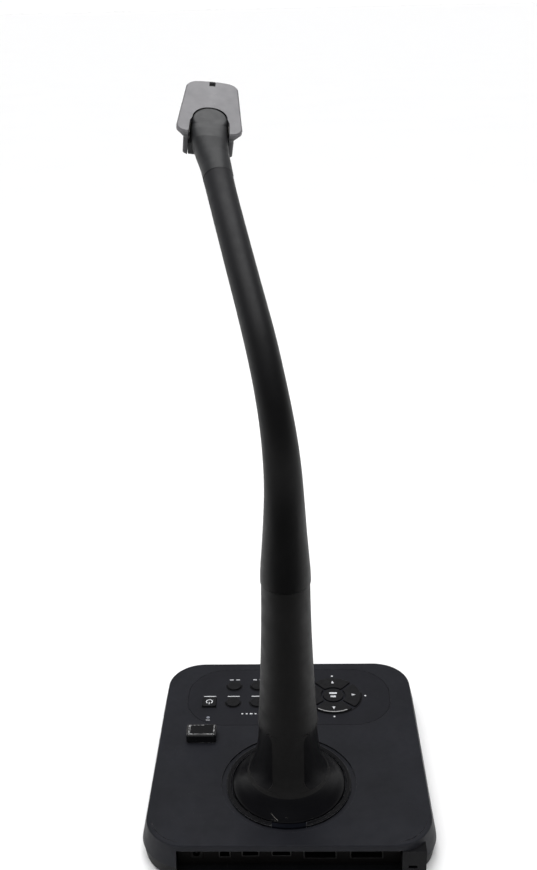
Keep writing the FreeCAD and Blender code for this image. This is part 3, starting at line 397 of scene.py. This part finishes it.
for part in frame["record"]["subparts"]:
    mesh = nodes[part["node"]].data
    mesh.materials.clear()
    mesh.materials.append(FINISHES[part["material_slot"]])


def shown(mesh_data, name, finish, body):
    """Puts a finished mesh in the scene as a piece that rides on one body."""
    mesh = bpy.data.meshes.new(name)
    mesh_data.to_mesh(mesh)
    mesh_data.free()
    piece = bpy.data.objects.new(name, mesh)
    scene.collection.objects.link(piece)
    mesh.materials.append(finish)
    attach(piece, body)
    return piece


def bridge(builder, rings):
    """Joins each ring of points to the next and closes both ends."""
    count = len(rings[0])
    for first, second in zip(rings, rings[1:]):
        for j in range(count):
            k = (j + 1) % count
            builder.faces.new((first[j], first[k], second[k], second[j]))
    builder.faces.new(rings[0][::-1])
    builder.faces.new(rings[-1])


# ---------------------------------------------------------------- smooth column and skirt

# Height above the foot of the skirt and outer radius, in millimetres, from the foot up.
SKIRT_PROFILE = [
    (0.0, 46.3), (2.1, 46.0), (4.0, 44.0), (7.5, 39.5), (13.5, 34.0), (21.5, 29.6), (31.5, 26.6),
    (46.5, 24.3), (61.5, 23.2), (76.5, 22.6),
]
COLUMN_PROFILE = [(0.0, 22.6), (19.8, 21.7), (49.8, 20.3), (84.8, 19.1), (115.8, 18.5)]
WALL = 2.0
TURN_STEPS = 160
SKIRT_STEPS, COLUMN_STEPS = 70, 40
SHARP_SHELL, SHARP_NECK, SHARP_LENS = 40, 50, 35


def smooth_radius(profile, height):
    """The outer radius at a height, along a smooth curve through the profile's points."""
    for i in range(len(profile) - 1):
        (z1, r1), (z2, r2) = profile[i], profile[i + 1]
        if height <= z2:
            break
    z0, r0 = profile[max(i - 1, 0)]
    z3, r3 = profile[min(i + 2, len(profile) - 1)]
    slope1 = (r2 - r0) / (z2 - z0)
    slope2 = (r3 - r1) / (z3 - z1)
    span = z2 - z1
    t = (height - z1) / span
    return (
        r1 * (2 * t**3 - 3 * t**2 + 1) + slope1 * span * (t**3 - 2 * t**2 + t)
        + r2 * (3 * t**2 - 2 * t**3) + slope2 * span * (t**3 - t**2)
    )


def turned_shell(builder, profile, foot, centre, steps):
    """Adds a smooth round shell of one wall thickness standing on foot."""
    top = profile[-1][0]
    rows = []
    for i in range(steps + 1):
        z = top * i / steps
        rows.append((smooth_radius(profile, z), z))
    rows += [(r - WALL, z) for r, z in reversed(rows)]
    rings = []
    for r, z in rows:
        ring = []
        for j in range(TURN_STEPS):
            a = 2 * math.pi * j / TURN_STEPS
            spot = (centre.x + r * math.cos(a) * MM, centre.y + r * math.sin(a) * MM, foot + z * MM)
            ring.append(builder.verts.new(spot))
        rings.append(ring)
    for i, ring in enumerate(rings):
        after = rings[(i + 1) % len(rings)]
        for j in range(TURN_STEPS):
            k = (j + 1) % TURN_STEPS
            builder.faces.new((ring[j], ring[k], after[k], after[j]))


STRAP_HALF = 13.0
STRAP_LOW, STRAP_TOP = 14.0, 82.0
WINDOW_LOW, WINDOW_TOP = 17.0, 65.0
WINDOW_ROUND = 8.0
STRAP_THICK, SKIN_THICK = 0.8, 0.08
STRAP_FADE_LOW, STRAP_FADE_TOP = 10.0, 14.0


def outer_radius(z):
    """The outer radius of the skirt, and above it of the column."""
    column_start = SKIRT_PROFILE[-1][0]
    if z <= column_start:
        return smooth_radius(SKIRT_PROFILE, z)
    return smooth_radius(COLUMN_PROFILE, z - column_start)


def strap_half(z):
    """Half the width of a strap at a height; above and below the windows it goes half way round."""
    if not WINDOW_LOW < z < WINDOW_TOP:
        return math.pi / 2 * outer_radius(z)
    near_end = min(z - WINDOW_LOW, WINDOW_TOP - z, WINDOW_ROUND)
    return STRAP_HALF + WINDOW_ROUND - math.sqrt(WINDOW_ROUND**2 - (WINDOW_ROUND - near_end)**2)


def strap_rise(z):
    """How far a strap stands out at a height; it runs out to nothing at both ends."""
    share = min(1.0, (z - STRAP_LOW) / STRAP_FADE_LOW, (STRAP_TOP - z) / STRAP_FADE_TOP)
    return SKIN_THICK + (STRAP_THICK - SKIN_THICK) * max(share, 0.0)


def strap(builder, foot, centre, middle_angle):
    """Adds the satin strap that runs down the skirt and spreads into its foot."""
    rows, columns = 136, 24
    shells = []
    for layer in (0, 1):
        grid = []
        for i in range(rows + 1):
            z = STRAP_LOW + (STRAP_TOP - STRAP_LOW) * i / rows
            r = outer_radius(z) + (SKIN_THICK / 2 if layer == 0 else strap_rise(z))
            sweep = strap_half(z) / r
            line = []
            for j in range(columns + 1):
                a = middle_angle + sweep * (2 * j / columns - 1)
                spot = (centre.x + r * math.cos(a) * MM, centre.y + r * math.sin(a) * MM, foot + z * MM)
                line.append(builder.verts.new(spot))
            grid.append(line)
        shells.append(grid)
    inner, outer = shells
    for grid, flip in ((outer, False), (inner, True)):
        for i in range(rows):
            for j in range(columns):
                quad = (grid[i][j], grid[i][j + 1], grid[i + 1][j + 1], grid[i + 1][j])
                builder.faces.new(quad[::-1] if flip else quad)
    rim = [(i, 0) for i in range(rows)] + [(rows, j) for j in range(columns)]
    rim += [(i, columns) for i in range(rows, 0, -1)] + [(0, j) for j in range(columns, 0, -1)]
    for (i, j), (k, l) in zip(rim, rim[1:] + rim[:1]):
        builder.faces.new((outer[i][j], outer[k][l], inner[k][l], inner[i][j]))


def shade_smooth(piece, angle):
    """Smooth shading that keeps edges sharper than angle."""
    piece.data.shade_smooth()
    piece.data.set_sharp_from_angle(angle=math.radians(angle))


SCRATCHES = [
    # from and to: degrees round the skirt and height up it; then width
    ((79.0, 2.9), (70.5, 5.6), 0.6), ((77.0, 2.5), (73.5, 2.9), 0.4), ((86.5, 4.6), (88.5, 4.3), 0.3),
    ((112.0, 2.6), (117.0, 2.9), 0.3),
]
SCRATCH_STEPS = 6
SCRATCH_TAPER = 0.8
SCRATCH_LOW, SCRATCH_HIGH = 0.02, 0.06


def scratches(foot, centre):
    """Short pale scratches on the foot of the skirt, each a thin wedge that tapers out."""
    builder = bmesh.new()
    for (a0, z0), (a1, z1), width in SCRATCHES:
        rings = []
        for i in range(SCRATCH_STEPS + 1):
            t = i / SCRATCH_STEPS
            z = z0 + (z1 - z0) * t
            a = math.radians(a0 + (a1 - a0) * t)
            half = width / 2 * (1.0 - SCRATCH_TAPER * t) / outer_radius(z)
            ring = []
            low, high = SCRATCH_LOW, SCRATCH_HIGH
            for turn, rise in ((-half, low), (half, low), (half, high), (-half, high)):
                r = outer_radius(z) + rise
                spot = (centre.x + r * math.cos(a + turn) * MM, centre.y + r * math.sin(a + turn) * MM)
                ring.append(builder.verts.new((*spot, foot + (z + rise) * MM)))
            rings.append(ring)
        bridge(builder, rings)
    bmesh.ops.recalc_face_normals(builder, faces=builder.faces)
    shown(builder, "skirt_scratches", SCUFF, "base")


def make_column():
    centre = middle("pivot_skirt")
    skirt_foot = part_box("pivot_skirt")[0].z
    builder = bmesh.new()
    turned_shell(builder, SKIRT_PROFILE, skirt_foot, centre, SKIRT_STEPS)
    skirt = shown(builder, "skirt_smooth", FINISHES["skirt_gloss"], "base")
    shade_smooth(skirt, SHARP_SHELL)
    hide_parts("pivot_skirt")
    column_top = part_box("column_shell")[1].z
    builder = bmesh.new()
    column_foot = column_top - COLUMN_PROFILE[-1][0] * MM
    turned_shell(builder, COLUMN_PROFILE, column_foot, centre, COLUMN_STEPS)
    for heading in (90, 270):
        strap(builder, skirt_foot, centre, math.radians(heading))
    bmesh.ops.recalc_face_normals(builder, faces=builder.faces)
    column = shown(builder, "column_smooth", FINISHES["column_plastic"], "base")
    shade_smooth(column, SHARP_SHELL)
    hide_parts("column_shell")
    scratches(skirt_foot, centre)


make_column()

# ---------------------------------------------------------------- smooth neck

# The head's own axes at the middle of its axle, as the frame gives them.
tilt = next(joint for joint in frame["joints"] if joint["name"] == "head_tilt")
HEAD_PITCH, HEAD_ROLL = math.radians(-28.0), math.radians(-7.85)
head_axes = Matrix.Rotation(HEAD_PITCH, 4, "X") @ Matrix.Rotation(HEAD_ROLL, 4, "Y")
head_frame = Matrix.Translation(Vector(tilt["pos_m"])) @ head_axes

# Along the neck from the arm: distance behind the axle, middle sideways and up, half width,
# half height, squareness of the section, in millimetres.
NECK = [
    (56.0, -10.5, -9.6, 12.6, 12.6, 2.0), (47.0, -8.4, -7.6, 12.9, 12.2, 2.1),
    (36.0, -5.0, -5.0, 13.9, 11.4, 2.3), (24.0, -1.8, -2.0, 15.2, 10.7, 2.8),
    (14.0, -0.4, -0.6, 15.7, 9.9, 3.4), (4.0, 0.0, -0.2, 15.2, 9.5, 4.0), (-17.0, 0.0, 0.0, 15.0, 9.4, 4.0),
]
NECK_STEPS, NECK_TURN = 150, 120
BALL, BALL_TOP, BALL_LOW = 16.9, 9.3, 15.4
HEEL_HALF, HEEL_FLARE, HEEL_START, HEEL_END = 16.15, 0.041, 2.0, 19.0
END_LEAN_SIDE, END_LEAN_RISE = 0.232, 0.126
LEAN_START = 30.0
# Behind this distance the neck's own section shows; ahead of it only the ball does.
SECTION_START = 3.0
# How sharply the ball's flats meet its round, and how far below level the heel begins.
CORNER_POWER = 14.0
HEEL_TURN = -0.2
# A tiny step on each side of the heel's ends keeps them sharp.
EDGE_STEP = 0.01


def neck_row(y):
    """The neck's section at a distance behind the axle, eased between the rows above."""
    for first, second in zip(NECK, NECK[1:]):
        if y >= second[0]:
            break
    t = (y - first[0]) / (second[0] - first[0])
    t = min(max(t, 0.0), 1.0)
    return [a + (b - a) * t for a, b in zip(first[1:], second[1:])]


def neck_reach(y, turn):
    """How far the neck reaches from the middle of its section, in one direction."""
    x, z, width, height, power = neck_row(y)
    c, s = abs(math.cos(turn)), abs(math.sin(turn))
    reach = 0.0
    if y > SECTION_START:
        reach = ((c / width) ** power + (s / height) ** power) ** (-1.0 / power)
    if abs(y) < BALL:
        flat = (BALL_TOP if math.sin(turn) > 0 else BALL_LOW) / max(s, 0.001)
        round_part = math.sqrt(BALL**2 - y**2)
        # A smooth least value rounds the edge between the flat top and the ball.
        reach = max(reach, (round_part**-CORNER_POWER + flat**-CORNER_POWER) ** (-1.0 / CORNER_POWER))
    if HEEL_START < y < HEEL_END and math.sin(turn) < HEEL_TURN:
        # The heel is centred on the head, not on the neck's own leaning section.
        half = HEEL_HALF + HEEL_FLARE * (y - HEEL_START) - x * math.copysign(1.0, math.cos(turn))
        reach = max(reach, min(half / max(c, 0.001), (BALL_LOW + z) / s))
    return reach


def make_neck():
    """One smooth skin from the end of the arm to the round end let into the head."""
    builder = bmesh.new()
    rings = []
    start, end = NECK[0][0], -BALL + 0.05
    places = [start + (end - start) * i / NECK_STEPS for i in range(NECK_STEPS + 1)]
    for edge in (HEEL_END, HEEL_START):
        places += [edge - EDGE_STEP, edge + EDGE_STEP]
    for y in sorted(places, reverse=True):
        x, z = neck_row(y)[:2]
        lean = max((y - LEAN_START) / (start - LEAN_START), 0.0)
        ring = []
        for j in range(NECK_TURN):
            a = 2 * math.pi * j / NECK_TURN
            reach = neck_reach(y, a)
            side, rise = reach * math.cos(a), reach * math.sin(a)
            back = y + lean * (END_LEAN_SIDE * side + END_LEAN_RISE * rise)
            spot = head_frame @ (Vector((x + side, back, z + rise)) * MM)
            ring.append(builder.verts.new(spot))
        rings.append(ring)
    bridge(builder, rings)
    bmesh.ops.recalc_face_normals(builder, faces=builder.faces)
    neck = shown(builder, "neck_smooth", FINISHES["neck_plastic"], "neck")
    shade_smooth(neck, SHARP_NECK)
    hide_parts("neck_tongue")


make_neck()

# ---------------------------------------------------------------- printed marks, painted shadows and painted highlights


INK_RISE = 0.03 * MM
INK_THICK = 0.02 * MM


def flat_shape(builder, outline, height):
    """Adds a thin plate with that outline at that height to a mesh."""
    low = [builder.verts.new((x, y, height)) for x, y in outline]
    high = [builder.verts.new((x, y, height + INK_THICK)) for x, y in outline]
    count = len(outline)
    builder.faces.new(high)
    builder.faces.new(low[::-1])
    for i in range(count):
        j = (i + 1) % count
        builder.faces.new((low[i], low[j], high[j], high[i]))


def rectangle(cx, cy, width, depth):
    return [
        (cx - width / 2, cy - depth / 2), (cx + width / 2, cy - depth / 2),
        (cx + width / 2, cy + depth / 2), (cx - width / 2, cy + depth / 2),
    ]


def circle(cx, cy, radius, steps=20):
    turn = 2 * math.pi / steps
    return [(cx + radius * math.cos(i * turn), cy + radius * math.sin(i * turn)) for i in range(steps)]


def triangle(cx, cy, size, heading):
    """A pointer about size across, aimed at heading degrees."""
    corners = ((1.0, 0), (0.75, 130), (0.75, 230))
    out = []
    for reach, turn in corners:
        a = math.radians(heading + turn)
        out.append((cx + size / 2 * reach * math.cos(a), cy + size / 2 * reach * math.sin(a)))
    return out


def arc_band(cx, cy, radius, width, start, sweep, steps=24):
    """A stretch of a flat ring."""
    angles = [math.radians(start + sweep * i / steps) for i in range(steps + 1)]
    wide, narrow = radius + width / 2, radius - width / 2
    outer = [(cx + wide * math.cos(a), cy + wide * math.sin(a)) for a in angles]
    inner = [(cx + narrow * math.cos(a), cy + narrow * math.sin(a)) for a in angles]
    return outer + inner[::-1]


def print_marks(name, shapes, node, body, finish=INK):
    """Prints flat shapes on top of a node, as one piece."""
    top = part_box(node)[1].z + INK_RISE
    builder = bmesh.new()
    for outline in shapes:
        flat_shape(builder, outline, top)
    bmesh.ops.recalc_face_normals(builder, faces=builder.faces)
    shown(builder, name, finish, body)


power = middle("power_key")
print_marks(
    "power_mark",
    [arc_band(power.x, power.y, 2.7 * MM, 0.9 * MM, -235, 290),
     rectangle(power.x, power.y + 2.2 * MM, 0.9 * MM, 3.0 * MM)],
    "power_key", "power_key_body",
)
nav = middle("nav_centre")
NAV_MARK_REACH = 18.2 * MM
for key, heading in (("nav_rear", 90), ("nav_left", 0), ("nav_front", 270), ("nav_right", 180)):
    a = math.radians(heading)
    spot = (nav.x + NAV_MARK_REACH * math.cos(a), nav.y + NAV_MARK_REACH * math.sin(a))
    print_marks(key + "_mark", [triangle(*spot, 5.0 * MM, heading)], key, key + "_body")
print_marks(
    "nav_centre_mark",
    [rectangle(nav.x, nav.y - 2.4 * MM, 7.0 * MM, 2.4 * MM),
     rectangle(nav.x, nav.y + 2.4 * MM, 5.0 * MM, 2.4 * MM)],
    "nav_centre", "nav_centre_body",
)


# Painted highlight along the edge of the arrow key nearest the column.
print_marks(
    "nav_rear_highlight", [arc_band(nav.x, nav.y, 24.1 * MM, 0.9 * MM, 54, 66)],
    "nav_rear", "nav_rear_body", EDGE_HIGHLIGHT,
)


# A short row of dashes on the panel: where it starts, its pitch, the height and lengths of its dashes.
ROW_X, ROW_Y, ROW_PITCH, ROW_HEIGHT = 42.0, -40.5, 4.0, 1.5
ROW_LENGTHS = (1.6, 1.6, 2.6, 1.6, 2.2)
# Half the spacing of the two dashes by each far key, and how far ahead of the key they are.
PAIR_SIDE, PAIR_AHEAD = 3.0, 9.4
DASH_AHEAD = 9.0
DOT_REACH, DOT_RADIUS = 29.5, 0.95


def panel_marks():
    """Short generic dashes beside the keys and the lamp, and dots outside three of the arrow keys."""
    shapes = []
    for key in ("key_far_left", "key_far_middle", "key_far_right"):
        spot = middle(key)
        for side in (-1, 1):
            place = (spot.x + side * PAIR_SIDE * MM, spot.y - PAIR_AHEAD * MM)
            shapes.append(rectangle(*place, 3.4 * MM, 1.1 * MM))
    for key in ("key_near_left", "key_near_middle", "key_near_right", "power_key"):
        spot = middle(key)
        shapes.append(rectangle(spot.x, spot.y - DASH_AHEAD * MM, 11.0 * MM, 1.0 * MM))
    lamp = middle("power_lamp_lens")
    for i, length in enumerate(ROW_LENGTHS):
        shapes.append(rectangle((ROW_X - ROW_PITCH * i) * MM, ROW_Y * MM, length * MM, ROW_HEIGHT * MM))
    shapes.append(rectangle(lamp.x, lamp.y + 3.4 * MM, 3.4 * MM, 0.6 * MM))
    for heading in (90, 180, 270):
        a = math.radians(heading)
        reach = DOT_REACH * MM
        shapes.append(circle(nav.x + reach * math.cos(a), nav.y + reach * math.sin(a), DOT_RADIUS * MM))
    return shapes


print_marks("panel_marks", panel_marks(), "control_panel", "base")


def key_shadow_rims():
    """Painted shadow: dark rims on the panel around the keys, widest toward the column."""
    shapes = []
    for key in ("near_left", "near_middle", "near_right", "far_left", "far_middle", "far_right"):
        spot = middle("key_" + key)
        shapes.append(arc_band(spot.x, spot.y + 0.25 * MM, 7.15 * MM, 1.0 * MM, -12, 204))
    shapes.append(arc_band(nav.x, nav.y + 0.2 * MM, 26.15 * MM, 1.0 * MM, -10, 200, 48))
    spot = middle("power_key")
    shapes.append(rectangle(spot.x, spot.y + 7.2 * MM, 14.0 * MM, 1.0 * MM))
    return shapes


print_marks("key_shadow_rims", key_shadow_rims(), "control_panel", "base", SHADE)


# The rounding of the slider's top, and the widths of the pale strips on its four edges, partly wear and partly
# painted highlight.
SLIDER_ROUND = 1.5
STRIP_EAST, STRIP_WEST, STRIP_NEAR, STRIP_FAR = 1.8, 1.2, 1.0, 0.8
STRIP_MARGIN = 3.2
FAR_STRIP_LENGTH, FAR_STRIP_SHIFT = 12.0, 4.0


def slider_rim():
    """Pale strips along the top edges of the thumb slider: worn edges, and painted highlight where light catches
    them.
    """
    low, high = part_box("thumb_slider")
    inset = SLIDER_ROUND * MM
    west, east, near, far = low.x + inset, high.x - inset, high.y - inset, low.y + inset
    cx, cy = (west + east) / 2, (near + far) / 2
    return [
        rectangle(east - STRIP_EAST / 2 * MM, cy, STRIP_EAST * MM, near - far),
        rectangle(west + STRIP_WEST / 2 * MM, cy, STRIP_WEST * MM, near - far),
        rectangle(cx, near - STRIP_NEAR / 2 * MM, east - west - STRIP_MARGIN * MM, STRIP_NEAR * MM),
        rectangle(cx + FAR_STRIP_SHIFT * MM, far + STRIP_FAR / 2 * MM, FAR_STRIP_LENGTH * MM, STRIP_FAR * MM),
    ]


print_marks("slider_worn_highlit_edges", slider_rim(), "thumb_slider", "slider", CHIPPED_HIGHLIT)

# ---------------------------------------------------------------- lens details


# The middle of the lens from the middle of the axle, along the head's own axes, in millimetres.
LENS_PLACE = Vector((0.0, -31.9, 0.0))
LENS_STEPS = 64


def lens_piece(name, profile, finish):
    """A solid turned about the lens's own axis; the profile gives radius and height in millimetres."""
    builder = bmesh.new()
    rings = []
    for radius, rise in profile:
        ring = []
        for j in range(LENS_STEPS):
            a = 2 * math.pi * j / LENS_STEPS
            flat = Vector((radius * math.cos(a), radius * math.sin(a), rise)) * MM
            ring.append(builder.verts.new(head_frame @ (LENS_PLACE * MM + flat)))
        rings.append(ring)
    bridge(builder, rings)
    bmesh.ops.recalc_face_normals(builder, faces=builder.faces)
    piece = shown(builder, name, finish, "head")
    shade_smooth(piece, SHARP_LENS)


# The bulging glass: its edge radius, how far it bulges, and its lowest point.
GLASS_RADIUS, GLASS_BULGE, GLASS_FOOT = 8.2, 0.9, -16.6
IRIS = [(0.4, -9.0), (3.0, -9.2), (5.2, -10.4), (5.4, -10.8), (7.2, -11.2), (7.2, -8.6), (0.4, -8.6)]
PUPIL = [(0.3, -9.3), (2.2, -9.5), (2.8, -9.25), (2.8, -9.1), (0.3, -9.1)]


def make_lens():
    """A bulging front element, with a stepped iris and a small pupil behind it."""
    bulge = []
    for degrees in range(6, 91, 7):
        t = math.radians(degrees)
        bulge.append((GLASS_RADIUS * math.sin(t), GLASS_FOOT + GLASS_BULGE * (1 - math.cos(t))))
    lens_piece("lens_bulge", bulge, FINISHES["lens_glass"])
    lens_piece("lens_iris", IRIS, FINISHES["barrel_plastic"])
    lens_piece("lens_pupil", PUPIL, FINISHES["slider_gloss"])


make_lens()

# ---------------------------------------------------------------- studio


FLOOR_HALF = 60.0
# The share of the way up the sky where its bright band ends, and where it has become dim.
BAND_END, DIM_START = 0.08, 0.42
SKY_STRENGTH = 1.06
SUN_ENERGY, SUN_SPREAD = 2.9, 60
SOFTBOX_SIZE, SOFTBOX_ENERGY = 0.5, 3.2
SOFTBOX_PLACE = (0.05, -0.38, 1.0)
CARD_HALF, CARD_NEAR, CARD_FAR, CARD_RISE = 1.2, 0.17, 3.0, 0.002


def make_floor():
    """A wide plain pale floor, finely mottled like painted board."""
    builder = bmesh.new()
    bmesh.ops.create_grid(builder, x_segments=4, y_segments=4, size=FLOOR_HALF)
    mesh = bpy.data.meshes.new("floor")
    builder.to_mesh(mesh)
    builder.free()
    floor = bpy.data.objects.new("floor", mesh)
    scene.collection.objects.link(floor)
    finish = Finish("floor_pale", **{"Specular_IOR_Level": 0.1, "Roughness": 0.9})
    finish.colour(finish.blend(finish.noise(0.4, 2.0), (0.88, 0.88, 0.88), (0.9, 0.9, 0.9)))
    mesh.materials.append(finish.material)


def make_world():
    """Soft room light: white near the horizon and dimmer overhead."""
    world = bpy.data.worlds.new("studio")
    scene.world = world
    world.use_nodes = True
    tree = world.node_tree
    background = tree.nodes["Background"]
    direction = tree.nodes.new("ShaderNodeTexCoord").outputs["Generated"]
    parts = tree.nodes.new("ShaderNodeSeparateXYZ")
    tree.links.new(direction, parts.inputs["Vector"])
    ramp = tree.nodes.new("ShaderNodeValToRGB")
    tree.links.new(parts.outputs["Z"], ramp.inputs["Fac"])
    ramp.color_ramp.elements[0].position = BAND_END
    ramp.color_ramp.elements[0].color = (0.97, 0.97, 0.97, 1.0)
    ramp.color_ramp.elements[1].position = DIM_START
    ramp.color_ramp.elements[1].color = (0.16, 0.16, 0.165, 1.0)
    tree.links.new(ramp.outputs["Color"], background.inputs["Color"])
    background.inputs["Strength"].default_value = SKY_STRENGTH


def make_lights():
    """One very soft light overhead, as from a bright ceiling, and a small softbox above the head."""
    data = bpy.data.lights.new("overhead", "SUN")
    data.energy = SUN_ENERGY
    data.angle = math.radians(SUN_SPREAD)
    lamp = bpy.data.objects.new("overhead", data)
    scene.collection.objects.link(lamp)
    lamp.rotation_euler = (math.radians(-8), math.radians(6), 0)
    lamp.visible_glossy = False
    data = bpy.data.lights.new("head_softbox", "AREA")
    data.size = SOFTBOX_SIZE
    data.energy = SOFTBOX_ENERGY
    softbox = bpy.data.objects.new("head_softbox", data)
    scene.collection.objects.link(softbox)
    softbox.location = SOFTBOX_PLACE


def make_flag():
    """A dark card on the floor behind the base, not seen directly, that darkens what gloss reflects."""
    builder = bmesh.new()
    flat = ((-CARD_HALF, CARD_NEAR), (CARD_HALF, CARD_NEAR), (CARD_HALF, CARD_FAR), (-CARD_HALF, CARD_FAR))
    corners = [(x, y, CARD_RISE) for x, y in flat]
    builder.faces.new([builder.verts.new(corner) for corner in corners])
    mesh = bpy.data.meshes.new("dark_card")
    builder.to_mesh(mesh)
    builder.free()
    card = bpy.data.objects.new("dark_card", mesh)
    scene.collection.objects.link(card)
    finish = Finish("card_dark", **{"Roughness": 1.0, "Specular_IOR_Level": 0.0})
    finish.colour(finish.blend(finish.noise(0.2), (0.01, 0.01, 0.01), (0.02, 0.02, 0.02)))
    mesh.materials.append(finish.material)
    card.visible_camera = False
    card.visible_diffuse = False
    card.visible_shadow = False


make_floor()
make_world()
make_lights()
make_flag()
